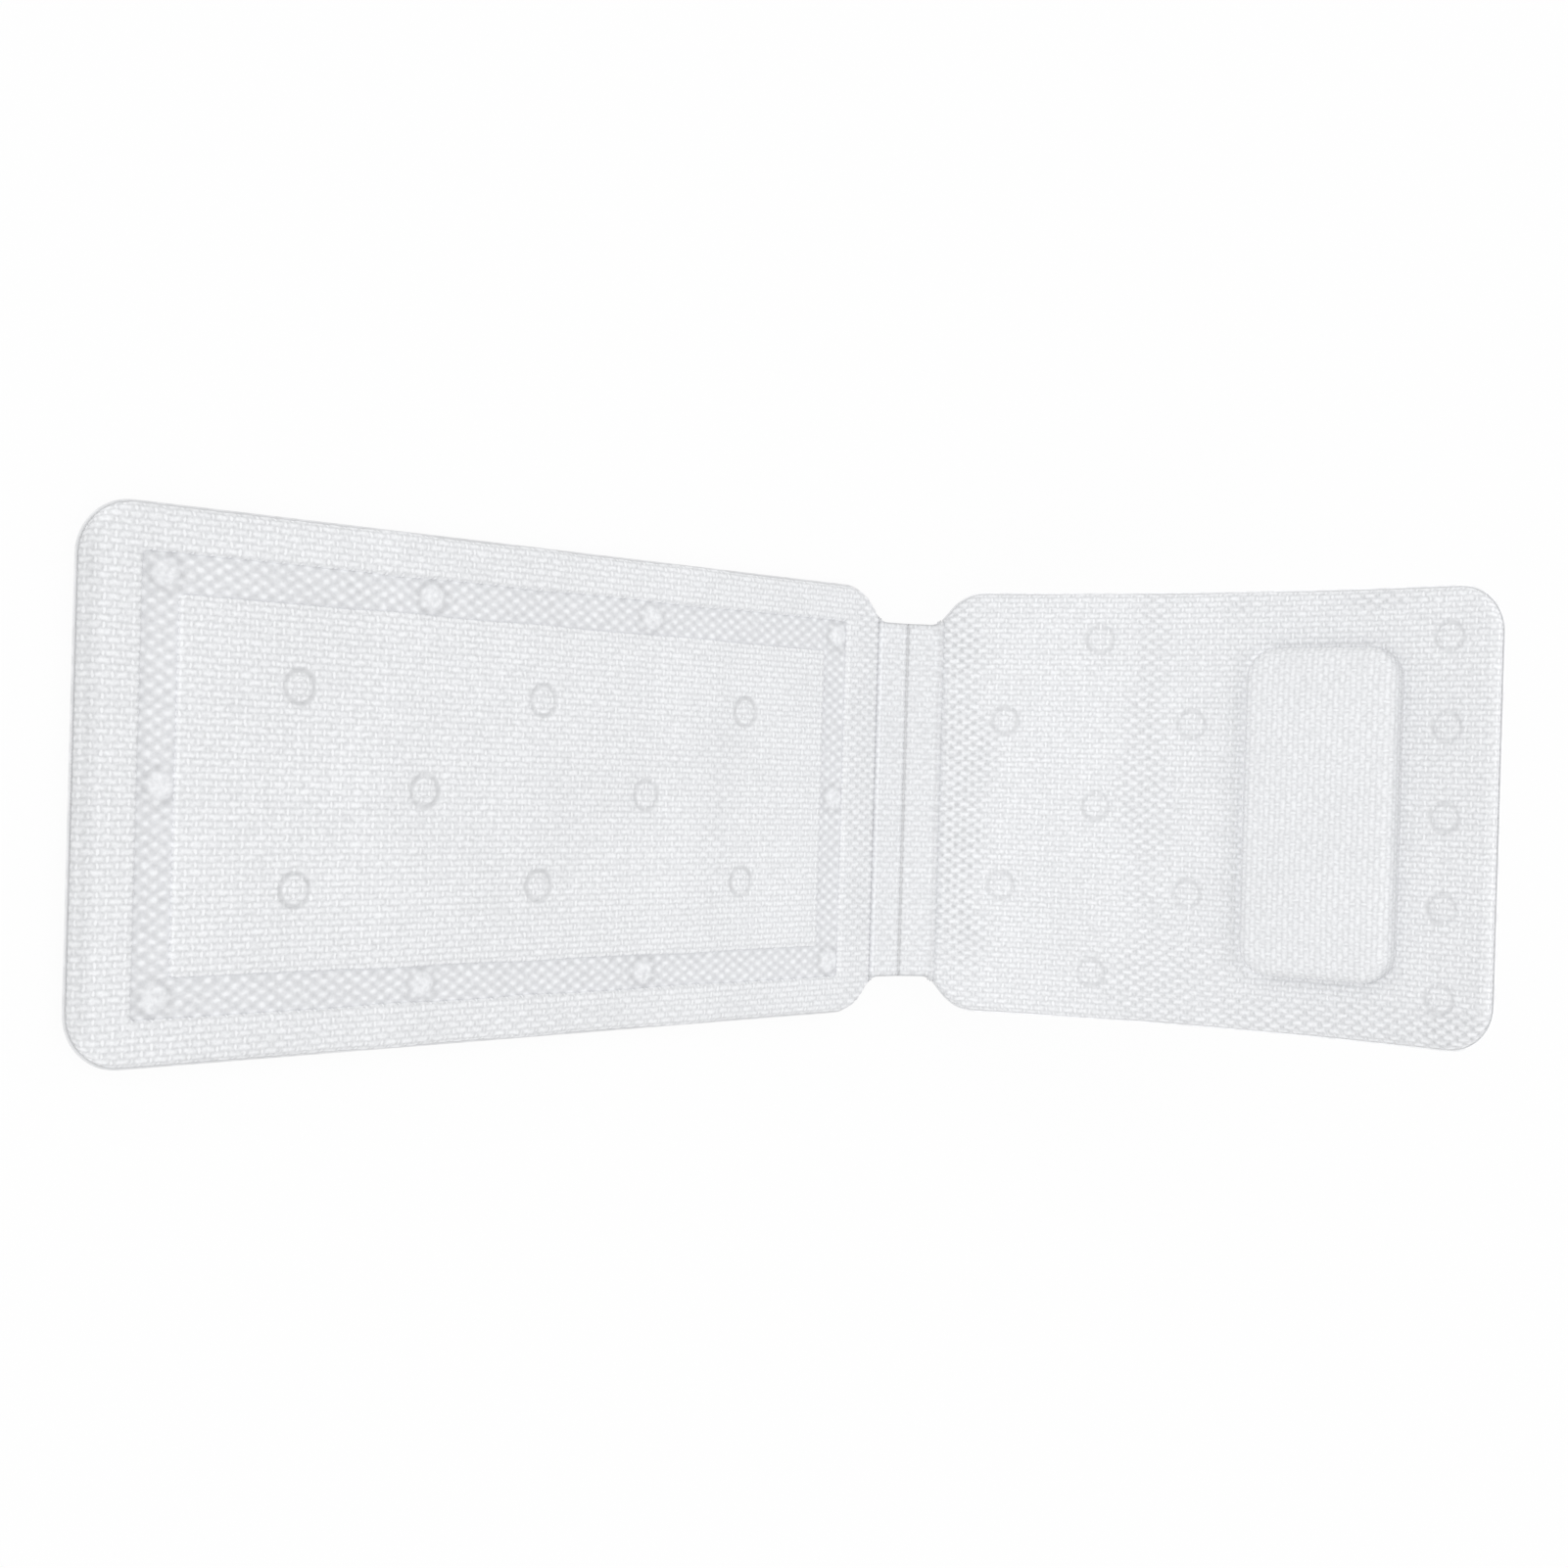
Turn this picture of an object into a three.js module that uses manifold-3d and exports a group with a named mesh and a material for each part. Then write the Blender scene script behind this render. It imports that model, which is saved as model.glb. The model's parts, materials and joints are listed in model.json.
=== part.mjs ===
// Full-body bath mat: a padded seat panel, a two-strip folding neck and a curved back panel with a pillow.
// Millimetres, +Z up, +X from the foot end to the head end, standing on its suction cups.
import * as THREE from 'three';
import { mergeVertices } from 'three/addons/utils/BufferGeometryUtils.js';
import Module from 'manifold-3d';

const wasm = await Module();
wasm.setup();

// Overall size of the mat laid flat
const MAT_LENGTH = 1250;
const MAT_WIDTH = 360;
const BACK_LENGTH = 474;
const STRIP_LENGTH = 30;
const STRIP_COUNT = 2;
const SEAT_LENGTH = MAT_LENGTH - BACK_LENGTH - STRIP_COUNT * STRIP_LENGTH;

// Thicknesses
const PAD_THICKNESS = 9;
const NECK_THICKNESS = 5.5;
const BASE_THICKNESS = 1.2;
const COVER_SKIN = 1.5;
const LAYER_GAP = 0.3;

// Outline: the covers stop short of the base sheets' rim, except along the fold lines
const END_CORNER_RADIUS = 38;
const SHOULDER_DEGREES = 50;
const NECK_FLARE = 4.5;
const FLANGE_WIDTH = 2;

// Pressed channel round the seat's centre pad
const CHANNEL_END_INSET = 55;
const CHANNEL_SIDE_INSET = 44.5;
const CHANNEL_WIDTH = 26;
const CHANNEL_DEPTH = 2.8;
const CHANNEL_DRAFT = 1.2;
const CHANNEL_CORNER_RADIUS = 3;

// Foam pockets under the covers
const POCKET_WALL = 2.5;
const POCKET_EDGE_INSET = 5;

// Weld rings over the suction cups
const RING_RADIUS = 11.2;
const RING_WIDTH = 2.8;
const RING_DEPTH = 2.2;
const CHANNEL_RING_DEPTH = 1;
const WELD_POST_RADIUS = 15;

// Suction cups
const CUP_HEIGHT = 9;
const CUP_LIP_RADIUS = 14;
const CUP_LIP_WIDTH = 2;
const CUP_LIP_HEIGHT = 0.8;
const CUP_FLANGE_RADIUS = 13;
const CUP_FLANGE_THICKNESS = 1.5;
const CUP_WAIST_RADIUS = 7;
const CUP_WAIST_DROP = 2.5;
const CUP_HOLLOW_HEIGHT = 4.5;

// Cup pattern: staggered columns along each panel, rows across it; the channel's cups stand nearer the fold
const SEAT_COLUMNS = 7;
const CHANNEL_CUP_SHIFT = 4;
const SEAT_ROW_PITCH = MAT_WIDTH / 4 - CHANNEL_SIDE_INSET / 2;
const SEAT_COLUMN_PITCH = (SEAT_LENGTH - 2 * CHANNEL_END_INSET) / (SEAT_COLUMNS - 1);
const BACK_FIRST_COLUMN = 58;
const BACK_COLUMN_PITCH = 80;
const BACK_SIDE_INSET = 40;
const BACK_ROW_PITCH = (MAT_WIDTH - 2 * BACK_SIDE_INSET) / 4;
const HEAD_COLUMN_INSET = 42.5;

// Head pillow
const PILLOW_LENGTH = 128;
const PILLOW_WIDTH = 264;
const PILLOW_HEIGHT = 20;
const PILLOW_CROWN = 3;
const PILLOW_DRAW_IN = 2;
const PILLOW_CORNER_RADIUS = 26;
const PILLOW_EDGE_RADIUS = 9;
const PILLOW_CENTRE = 332;
const PILLOW_LEAST_RADIUS = 2;
// Crown: shares of the half length in from the edge, and of the crown's rise there
const PILLOW_CROWN_STEPS = [[0.45, 0.6], [0.8, 1]];

// Pose: bend at each fold line, and the set curve of the back panel
const SEAT_FOLD_DEGREES = 14;
const MIDDLE_FOLD_DEGREES = 20;
const BACK_FOLD_DEGREES = 20;
const BACK_CURVE_RADIUS = 750;

// Folds: clearance on each side of a fold line and the slope of the strips' edges
const FOLD_CLEARANCE = 0.15;
const STRIP_EDGE_DEGREES = 38;
const STRIP_END_ROUND = 1.5;

// Facets
const CORNER_SEGMENTS = 3;
const ARC_STEPS = 5;
const EDGE_SEGMENTS = 3;
const RING_SEGMENTS = 10;
const CUP_SEGMENTS = 12;
const CURVE_STATIONS = 12;
const SAME_POINT = 1e-5;

// Heights from a panel's fold axis, which runs through the middle of the neck's thickness
const PANEL_UNDERSIDE = -NECK_THICKNESS / 2;
const PANEL_TOP = PANEL_UNDERSIDE + PAD_THICKNESS;
const COVER_UNDERSIDE = PANEL_UNDERSIDE + BASE_THICKNESS + LAYER_GAP;
const POCKET_CEILING = PANEL_TOP - COVER_SKIN;
const COVER_EDGE_ROUND = PANEL_TOP;
const CUT_MARGIN = 5;

const coverMaterial = new THREE.MeshStandardMaterial({ color: 0xe9eaec, roughness: 0.75, metalness: 0 });
const baseMaterial = new THREE.MeshStandardMaterial({ color: 0xe2e3e5, roughness: 0.6, metalness: 0 });
const foamMaterial = new THREE.MeshStandardMaterial({ color: 0xf2f0e8, roughness: 0.95, metalness: 0 });
const cupMaterial = new THREE.MeshStandardMaterial({ color: 0xdfe4e6, roughness: 0.25, metalness: 0 });

const radians = THREE.MathUtils.degToRad;

// Solids and plain geometry

function positionsOnly(geometry) {
  const bare = geometry.clone();
  bare.deleteAttribute('normal');
  bare.deleteAttribute('uv');
  return mergeVertices(bare, SAME_POINT);
}

function solid(geometry) {
  const merged = positionsOnly(geometry);
  const vertProperties = new Float32Array(merged.attributes.position.array);
  const triVerts = new Uint32Array(merged.index.array);
  return new wasm.Manifold(new wasm.Mesh({ numProp: 3, vertProperties, triVerts }));
}

function surface(body) {
  const mesh = body.getMesh();
  const geometry = new THREE.BufferGeometry();
  geometry.setAttribute('position', new THREE.BufferAttribute(mesh.vertProperties.slice(), 3));
  geometry.setIndex(new THREE.BufferAttribute(mesh.triVerts.slice(), 1));
  return geometry;
}

function prism(shape, bottom, top) {
  const geometry = new THREE.ExtrudeGeometry(shape, { depth: top - bottom, bevelEnabled: false });
  return geometry.translate(0, 0, bottom);
}

// A slab whose upper edge is rounded, made from a fully rounded slab with its lower part cut away
function roundedSlab(shape, bottom, top, edgeRound) {
  const below = bottom - edgeRound;
  const rounded = new THREE.ExtrudeGeometry(shape, {
    depth: top - below - 2 * edgeRound, bevelEnabled: true,
    bevelThickness: edgeRound, bevelSize: edgeRound, bevelOffset: -edgeRound, bevelSegments: EDGE_SEGMENTS,
  });
  rounded.translate(0, 0, below + edgeRound);
  const reach = 2 * MAT_LENGTH;
  const lower = new THREE.BoxGeometry(reach, reach, reach);
  lower.translate(0, 0, bottom - reach / 2);
  return solid(rounded).subtract(solid(lower));
}

// Outlines

// The outline as straight steps, without the doubled points where its arcs and lines meet
function stepped(shape) {
  const points = shape.getPoints(CORNER_SEGMENTS);
  const apart = (point, index) => point.distanceTo(points[(index + 1) % points.length]) > SAME_POINT;
  return new THREE.Shape(points.filter(apart));
}

function roundedRectangle(x0, x1, halfWidth, radius) {
  const shape = new THREE.Shape();
  shape.moveTo(x0 + radius, -halfWidth);
  shape.lineTo(x1 - radius, -halfWidth);
  shape.absarc(x1 - radius, -halfWidth + radius, radius, -Math.PI / 2, 0);
  shape.lineTo(x1, halfWidth - radius);
  shape.absarc(x1 - radius, halfWidth - radius, radius, 0, Math.PI / 2);
  shape.lineTo(x0 + radius, halfWidth);
  shape.absarc(x0 + radius, halfWidth - radius, radius, Math.PI / 2, Math.PI);
  shape.lineTo(x0, -halfWidth + radius);
  shape.absarc(x0 + radius, -halfWidth + radius, radius, Math.PI, 1.5 * Math.PI);
  return stepped(shape);
}

// Points along an arc, from its angle at one end to its angle at the other, both measured from +X
function arc(centreX, centreY, radius, from, to) {
  const points = [];
  for (let step = 0; step <= ARC_STEPS; step += 1) {
    const angle = from + ((to - from) * step) / ARC_STEPS;
    points.push(new THREE.Vector2(centreX + radius * Math.cos(angle), centreY + radius * Math.sin(angle)));
  }
  return points;
}

// Half of a panel's outline, from its fold line to its far end: the shoulder slopes out from the neck into a
// round corner, the straight side may have points along it, and the far corner is round like the first
function panelHalfOutline(length, inset, foldInset, stations) {
  const quarter = Math.PI / 2;
  const slope = radians(SHOULDER_DEGREES);
  const halfWidth = MAT_WIDTH / 2 - inset;
  const radius = END_CORNER_RADIUS - inset;
  const cornerY = MAT_WIDTH / 2 - END_CORNER_RADIUS;
  const foldX = FOLD_CLEARANCE + foldInset;
  const corner = arc(FOLD_CLEARANCE + END_CORNER_RADIUS, cornerY, radius, quarter + slope, quarter);
  const shoulderY = corner[0].y - (corner[0].x - foldX) * Math.tan(slope);
  return [
    new THREE.Vector2(foldX, shoulderY),
    ...corner,
    ...stations.map((x) => new THREE.Vector2(x, halfWidth)),
    ...arc(length - END_CORNER_RADIUS, cornerY, radius, quarter, 0),
  ];
}

function seatOutline(inset, foldInset = inset) {
  const side = panelHalfOutline(SEAT_LENGTH, inset, foldInset, []);
  const upper = side.map((p) => new THREE.Vector2(-p.x, p.y));
  const lower = side.map((p) => new THREE.Vector2(-p.x, -p.y));
  return new THREE.Shape([...upper, ...lower.reverse()]);
}

// The back's straight side has a point at each station of its curve that lies clear of the corners
function backHalfOutline(inset, foldInset = inset) {
  const stations = [];
  for (let station = 1; station < CURVE_STATIONS; station += 1) {
    stations.push((station * BACK_LENGTH) / CURVE_STATIONS);
  }
  const clear = END_CORNER_RADIUS + POCKET_EDGE_INSET;
  const straight = stations.filter((x) => x > clear && x < BACK_LENGTH - clear);
  return panelHalfOutline(BACK_LENGTH, inset, foldInset, straight);
}

// A neck strip's outline, run on past its fold lines: parallel sides that flare by a concave arc to the width
// that the panel has at its fold line
function stripOutline() {
  const sweep = radians(SHOULDER_DEGREES);
  const foldY = panelHalfOutline(BACK_LENGTH, 0, 0, [])[0].y;
  const halfNeck = foldY - NECK_FLARE;
  const radius = NECK_FLARE / (1 - Math.cos(sweep));
  const side = [
    new THREE.Vector2(-CUT_MARGIN, foldY + CUT_MARGIN * Math.tan(sweep)),
    ...arc(radius * Math.sin(sweep), halfNeck + radius, radius, -Math.PI / 2 - sweep, -Math.PI / 2),
    new THREE.Vector2(STRIP_LENGTH + CUT_MARGIN, halfNeck),
  ];
  const lower = side.map((p) => new THREE.Vector2(p.x, -p.y));
  return new THREE.Shape([...side, ...lower.reverse()]);
}

// The channel's edge, grown outwards from its centre line by half a width, or inwards where that is negative
function channelEdge(grow) {
  const x0 = -SEAT_LENGTH + CHANNEL_END_INSET - grow;
  const x1 = -CHANNEL_END_INSET + grow;
  return roundedRectangle(x0, x1, MAT_WIDTH / 2 - CHANNEL_SIDE_INSET + grow, CHANNEL_CORNER_RADIUS);
}

// Curve of the back panel

// Where a point of the flat back panel comes to lie when the panel is wrapped to its curve
function curved(x, y, z) {
  const angle = x / BACK_CURVE_RADIUS;
  const radius = BACK_CURVE_RADIUS - z;
  return new THREE.Vector3(radius * Math.sin(angle), y, BACK_CURVE_RADIUS - radius * Math.cos(angle));
}

// A curved solid from matching half outlines stacked upwards, each mirrored across the mat's centre line
function loft(levels) {
  const count = levels[0].outline.length;
  const pair = (p, z) => [curved(p.x, p.y, z), curved(p.x, -p.y, z)];
  const points = levels.flatMap(({ outline, z }) => outline.flatMap((p) => pair(p, z)));
  const corner = (level, index, side) => 2 * (level * count + index) + side;
  const faces = [];
  const quad = (a, b, c, d) => faces.push(a, b, c, a, c, d);
  const top = levels.length - 1;
  for (let i = 0; i < count - 1; i += 1) {
    quad(corner(0, i, 0), corner(0, i + 1, 0), corner(0, i + 1, 1), corner(0, i, 1));
    quad(corner(top, i, 1), corner(top, i + 1, 1), corner(top, i + 1, 0), corner(top, i, 0));
  }
  for (let level = 0; level < top; level += 1) {
    const above = level + 1;
    for (let i = 0; i < count - 1; i += 1) {
      quad(corner(above, i, 0), corner(above, i + 1, 0), corner(level, i + 1, 0), corner(level, i, 0));
      quad(corner(level, i, 1), corner(level, i + 1, 1), corner(above, i + 1, 1), corner(above, i, 1));
    }
    const end = count - 1;
    quad(corner(level, 0, 0), corner(level, 0, 1), corner(above, 0, 1), corner(above, 0, 0));
    quad(corner(above, end, 0), corner(above, end, 1), corner(level, end, 1), corner(level, end, 0));
  }
  const geometry = new THREE.BufferGeometry().setFromPoints(points);
  geometry.setIndex(faces);
  return geometry;
}

// Frames that carry a piece from the middle of the mat to its column on each panel
function seatFrame(x) {
  return new THREE.Matrix4().makeTranslation(x, 0, 0);
}

function backFrame(x) {
  return new THREE.Matrix4().makeRotationY(-x / BACK_CURVE_RADIUS).setPosition(curved(x, 0, 0));
}

// Cup pattern

// Even columns stand on the channel's sides and the centre line, odd columns between them
function seatCups() {
  const places = [];
  for (let column = 0; column < SEAT_COLUMNS; column += 1) {
    const x = -SEAT_LENGTH + CHANNEL_END_INSET + column * SEAT_COLUMN_PITCH;
    const onEnd = column === 0 || column === SEAT_COLUMNS - 1;
    const rows = column % 2 === 0 ? [-2, 0, 2] : [-1, 1];
    for (const row of rows) {
      const inChannel = onEnd || Math.abs(row) === 2;
      const frame = seatFrame(inChannel ? x + CHANNEL_CUP_SHIFT : x);
      places.push({ frame, y: row * SEAT_ROW_PITCH, inChannel });
    }
  }
  return places;
}

function backCups() {
  const columns = [
    { x: BACK_FIRST_COLUMN, rows: [-1, 1] },
    { x: BACK_FIRST_COLUMN + BACK_COLUMN_PITCH, rows: [-2, 0, 2] },
    { x: BACK_FIRST_COLUMN + 2 * BACK_COLUMN_PITCH, rows: [-1, 1] },
    { x: BACK_LENGTH - HEAD_COLUMN_INSET, rows: [-2, -1, 0, 1, 2] },
  ];
  const onColumn = (x, row) => ({ frame: backFrame(x), y: row * BACK_ROW_PITCH });
  return columns.flatMap(({ x, rows }) => rows.map((row) => onColumn(x, row)));
}

// Covers, foams and base sheets

function ringGroove(place, top, depth) {
  const inner = RING_RADIUS - RING_WIDTH / 2;
  const outer = RING_RADIUS + RING_WIDTH / 2;
  const profile = [
    [inner, -depth],
    [outer, -depth],
    [outer, CUT_MARGIN],
    [inner, CUT_MARGIN],
    [inner, -depth],
  ];
  const ring = new THREE.LatheGeometry(profile.map(([r, h]) => new THREE.Vector2(r, h)), RING_SEGMENTS);
  return ring.rotateX(Math.PI / 2).translate(0, place.y, top).applyMatrix4(place.frame);
}

function post(place, radius, bottom, top) {
  const column = new THREE.CylinderGeometry(radius, radius, top - bottom, RING_SEGMENTS);
  return column.rotateX(Math.PI / 2).translate(0, place.y, (top + bottom) / 2).applyMatrix4(place.frame);
}

function cutAll(body, tools) {
  return tools.reduce((left, tool) => left.subtract(solid(tool)), body);
}

// A pocket's hollow, with a post left standing in it under each weld ring
function pocket(hollow, places) {
  const bottom = COVER_UNDERSIDE - 2 * CUT_MARGIN;
  return cutAll(solid(hollow), places.map((place) => post(place, WELD_POST_RADIUS, bottom, PANEL_TOP)));
}

function foam(slab, places) {
  const bottom = COVER_UNDERSIDE - CUT_MARGIN;
  const holes = places.map((place) => post(place, WELD_POST_RADIUS + LAYER_GAP, bottom, PANEL_TOP));
  return surface(cutAll(solid(slab), holes));
}

function hollowPrism(shape) {
  return prism(shape, COVER_UNDERSIDE - CUT_MARGIN, POCKET_CEILING);
}

function foamPrism(shape) {
  return prism(shape, COVER_UNDERSIDE, POCKET_CEILING - LAYER_GAP);
}

function coverSlab(shape) {
  return surface(roundedSlab(shape, COVER_UNDERSIDE, PANEL_TOP, COVER_EDGE_ROUND));
}

function baseSheet(shape) {
  return prism(shape, PANEL_UNDERSIDE, PANEL_UNDERSIDE + BASE_THICKNESS);
}

function channelCut() {
  const halfWidth = CHANNEL_WIDTH / 2;
  const shape = channelEdge(halfWidth);
  shape.holes.push(channelEdge(-halfWidth));
  const cutter = new THREE.ExtrudeGeometry(shape, {
    depth: CUT_MARGIN, bevelEnabled: true, bevelSegments: 1,
    bevelThickness: CHANNEL_DEPTH, bevelSize: CHANNEL_DRAFT, bevelOffset: -CHANNEL_DRAFT,
  });
  return cutter.translate(0, 0, PANEL_TOP);
}

function borderShape(extra) {
  const shape = seatOutline(POCKET_EDGE_INSET + extra);
  shape.holes.push(channelEdge(CHANNEL_WIDTH / 2 + POCKET_WALL + extra));
  return shape;
}

function centreShape(extra) {
  return channelEdge(-CHANNEL_WIDTH / 2 - POCKET_WALL - extra);
}

function seatCover() {
  const places = seatCups();
  const padPlaces = places.filter((place) => !place.inChannel);
  const channelPlaces = places.filter((place) => place.inChannel);
  const borderPocket = solid(hollowPrism(borderShape(0)));
  const centrePocket = pocket(hollowPrism(centreShape(0)), padPlaces);
  const slab = solid(coverSlab(seatOutline(FLANGE_WIDTH, 0)));
  const hollowed = slab.subtract(borderPocket).subtract(centrePocket);
  const channelFloor = PANEL_TOP - CHANNEL_DEPTH;
  const padRings = padPlaces.map((place) => ringGroove(place, PANEL_TOP, RING_DEPTH));
  const channelRings = channelPlaces.map((place) => ringGroove(place, channelFloor, CHANNEL_RING_DEPTH));
  return surface(cutAll(hollowed, [channelCut(), ...padRings, ...channelRings]));
}

function seatFoams() {
  const padPlaces = seatCups().filter((place) => !place.inChannel);
  const centre = foam(foamPrism(centreShape(LAYER_GAP)), padPlaces);
  const border = foamPrism(borderShape(LAYER_GAP));
  return { centre, border };
}

// A curved slab with upright sides
function backSlab(inset, bottom, top) {
  const outline = backHalfOutline(inset);
  return loft([{ outline, z: bottom }, { outline, z: top }]);
}

function backCoverSlab() {
  const levels = [{ outline: backHalfOutline(FLANGE_WIDTH, 0), z: COVER_UNDERSIDE }];
  for (let step = 0; step <= EDGE_SEGMENTS; step += 1) {
    const angle = (step / EDGE_SEGMENTS) * (Math.PI / 2);
    const inset = COVER_EDGE_ROUND * (1 - Math.cos(angle));
    const z = PANEL_TOP - COVER_EDGE_ROUND * (1 - Math.sin(angle));
    levels.push({ outline: backHalfOutline(FLANGE_WIDTH + inset, inset), z });
  }
  return loft(levels);
}

function backCover() {
  const places = backCups();
  const hollow = backSlab(POCKET_EDGE_INSET, COVER_UNDERSIDE - CUT_MARGIN, POCKET_CEILING);
  const hollowed = solid(backCoverSlab()).subtract(pocket(hollow, places));
  return surface(cutAll(hollowed, places.map((place) => ringGroove(place, PANEL_TOP, RING_DEPTH))));
}

function backFoam() {
  const slab = backSlab(POCKET_EDGE_INSET + LAYER_GAP, COVER_UNDERSIDE, POCKET_CEILING - LAYER_GAP);
  return foam(slab, backCups());
}

function backBaseSheet() {
  return backSlab(0, PANEL_UNDERSIDE, PANEL_UNDERSIDE + BASE_THICKNESS);
}

// Pillow

// Half of the pillow's outline, whose side and ends draw in between the corners
function pillowHalfOutline(inset) {
  const halfLength = PILLOW_LENGTH / 2 - inset;
  const halfWidth = PILLOW_WIDTH / 2 - inset;
  const radius = Math.max(PILLOW_CORNER_RADIUS - inset, PILLOW_LEAST_RADIUS);
  const near = PILLOW_CENTRE - halfLength + radius;
  const far = PILLOW_CENTRE + halfLength - radius;
  return [
    ...arc(near, halfWidth - radius, radius, Math.PI, Math.PI / 2),
    new THREE.Vector2((near + far) / 2, halfWidth - PILLOW_DRAW_IN),
    ...arc(far, halfWidth - radius, radius, Math.PI / 2, 0),
  ];
}

// The pillow's outside shrunk by a skin thickness: upright wall, round shoulder, then a shallow crown
function pillowSolid(skin, foot) {
  const top = PANEL_TOP + LAYER_GAP + PILLOW_HEIGHT;
  const round = PILLOW_EDGE_RADIUS - skin;
  const levels = [{ outline: pillowHalfOutline(skin), z: foot }];
  for (let step = 0; step <= EDGE_SEGMENTS; step += 1) {
    const angle = (step / EDGE_SEGMENTS) * (Math.PI / 2);
    const outline = pillowHalfOutline(PILLOW_EDGE_RADIUS - round * Math.cos(angle));
    levels.push({ outline, z: top - PILLOW_EDGE_RADIUS + round * Math.sin(angle) });
  }
  for (const [inset, rise] of PILLOW_CROWN_STEPS) {
    const outline = pillowHalfOutline(inset * (PILLOW_LENGTH / 2));
    levels.push({ outline, z: top - skin + rise * PILLOW_CROWN });
  }
  return loft(levels);
}

function pillowCover() {
  const foot = PANEL_TOP + LAYER_GAP;
  return surface(solid(pillowSolid(0, foot)).subtract(solid(pillowSolid(COVER_SKIN, foot - CUT_MARGIN))));
}

function pillowFoam() {
  return pillowSolid(COVER_SKIN + LAYER_GAP, PANEL_TOP + LAYER_GAP);
}

// Neck strip: a flared bar across the mat whose long edges slope back above and below the fold lines
function neckStrip() {
  const half = NECK_THICKNESS / 2;
  const slope = half * Math.tan(radians(STRIP_EDGE_DEGREES));
  const near = FOLD_CLEARANCE;
  const far = STRIP_LENGTH - FOLD_CLEARANCE;
  const section = new THREE.Shape([
    new THREE.Vector2(near, 0),
    new THREE.Vector2(near + slope, -half),
    new THREE.Vector2(far - slope, -half),
    new THREE.Vector2(far, 0),
    new THREE.Vector2(far - slope, half),
    new THREE.Vector2(near + slope, half),
  ]);
  const bar = new THREE.ExtrudeGeometry(section, { depth: MAT_WIDTH, bevelEnabled: false });
  bar.translate(0, 0, -MAT_WIDTH / 2).rotateX(Math.PI / 2);
  const plan = new THREE.ExtrudeGeometry(stripOutline(), {
    depth: NECK_THICKNESS - 2 * STRIP_END_ROUND, bevelEnabled: true, bevelSegments: 2,
    bevelThickness: STRIP_END_ROUND, bevelSize: STRIP_END_ROUND, bevelOffset: -STRIP_END_ROUND,
  });
  plan.translate(0, 0, STRIP_END_ROUND - half);
  return surface(solid(bar).intersect(solid(plan)));
}

// Suction cup, lip at height 0 and weld flange at the top
function suctionCup() {
  const waist = CUP_HEIGHT - CUP_WAIST_DROP;
  const profile = [
    [0, CUP_HOLLOW_HEIGHT],
    [CUP_LIP_RADIUS - CUP_LIP_WIDTH, 0],
    [CUP_LIP_RADIUS, 0],
    [CUP_LIP_RADIUS, CUP_LIP_HEIGHT],
    [CUP_WAIST_RADIUS, waist],
    [CUP_FLANGE_RADIUS, CUP_HEIGHT - CUP_FLANGE_THICKNESS],
    [CUP_FLANGE_RADIUS, CUP_HEIGHT],
    [0, CUP_HEIGHT],
  ];
  const cup = new THREE.LatheGeometry(profile.map(([r, h]) => new THREE.Vector2(r, h)), CUP_SEGMENTS);
  return cup.rotateX(Math.PI / 2);
}

// Assembly

function addPiece(parent, name, geometry, material) {
  const mesh = new THREE.Mesh(geometry, material);
  mesh.name = name;
  parent.add(mesh);
  return mesh;
}

function numbered(stem, index) {
  return `${stem}_${String(index + 1).padStart(2, '0')}`;
}

function fold(parent, x, degrees) {
  const group = new THREE.Group();
  group.position.x = x;
  group.rotation.y = -radians(degrees);
  parent.add(group);
  return group;
}

// Each cup hangs by its flange under the base sheet, square to the panel there
function addCups(parent, stem, places) {
  places.forEach((place, index) => {
    const cup = addPiece(parent, numbered(stem, index), suctionCup(), cupMaterial);
    cup.applyMatrix4(place.frame);
    cup.translateY(place.y);
    cup.translateZ(PANEL_UNDERSIDE - LAYER_GAP - CUP_HEIGHT);
  });
}

function addSeat(parent) {
  const foams = seatFoams();
  addPiece(parent, 'seat_cover', seatCover(), coverMaterial);
  addPiece(parent, 'seat_base_sheet', baseSheet(seatOutline(0)), baseMaterial);
  addPiece(parent, 'seat_centre_foam', foams.centre, foamMaterial);
  addPiece(parent, 'seat_border_foam', foams.border, foamMaterial);
  addCups(parent, 'seat_cup', seatCups());
}

function addBack(parent) {
  addPiece(parent, 'back_cover', backCover(), coverMaterial);
  addPiece(parent, 'back_base_sheet', backBaseSheet(), baseMaterial);
  addPiece(parent, 'back_foam', backFoam(), foamMaterial);
  addPiece(parent, 'pillow_cover', pillowCover(), coverMaterial);
  addPiece(parent, 'pillow_foam', pillowFoam(), foamMaterial);
  addCups(parent, 'back_cup', backCups());
}

// The group's origin is under the middle of the mat, at the level its cups stand on
function standOnFloor(group) {
  const box = new THREE.Box3().setFromObject(group, true);
  const centre = box.getCenter(new THREE.Vector3());
  group.position.set(-centre.x, -centre.y, -box.min.z);
}

const mat = new THREE.Group();
addSeat(mat);
const seatSideStrip = fold(mat, 0, SEAT_FOLD_DEGREES);
addPiece(seatSideStrip, 'neck_strip_seat', neckStrip(), coverMaterial);
const backSideStrip = fold(seatSideStrip, STRIP_LENGTH, MIDDLE_FOLD_DEGREES);
const turnedStrip = neckStrip().rotateZ(Math.PI).translate(STRIP_LENGTH, 0, 0);
addPiece(backSideStrip, 'neck_strip_back', turnedStrip, coverMaterial);
const back = fold(backSideStrip, STRIP_LENGTH, BACK_FOLD_DEGREES);
addBack(back);
standOnFloor(mat);

export default mat;
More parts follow.
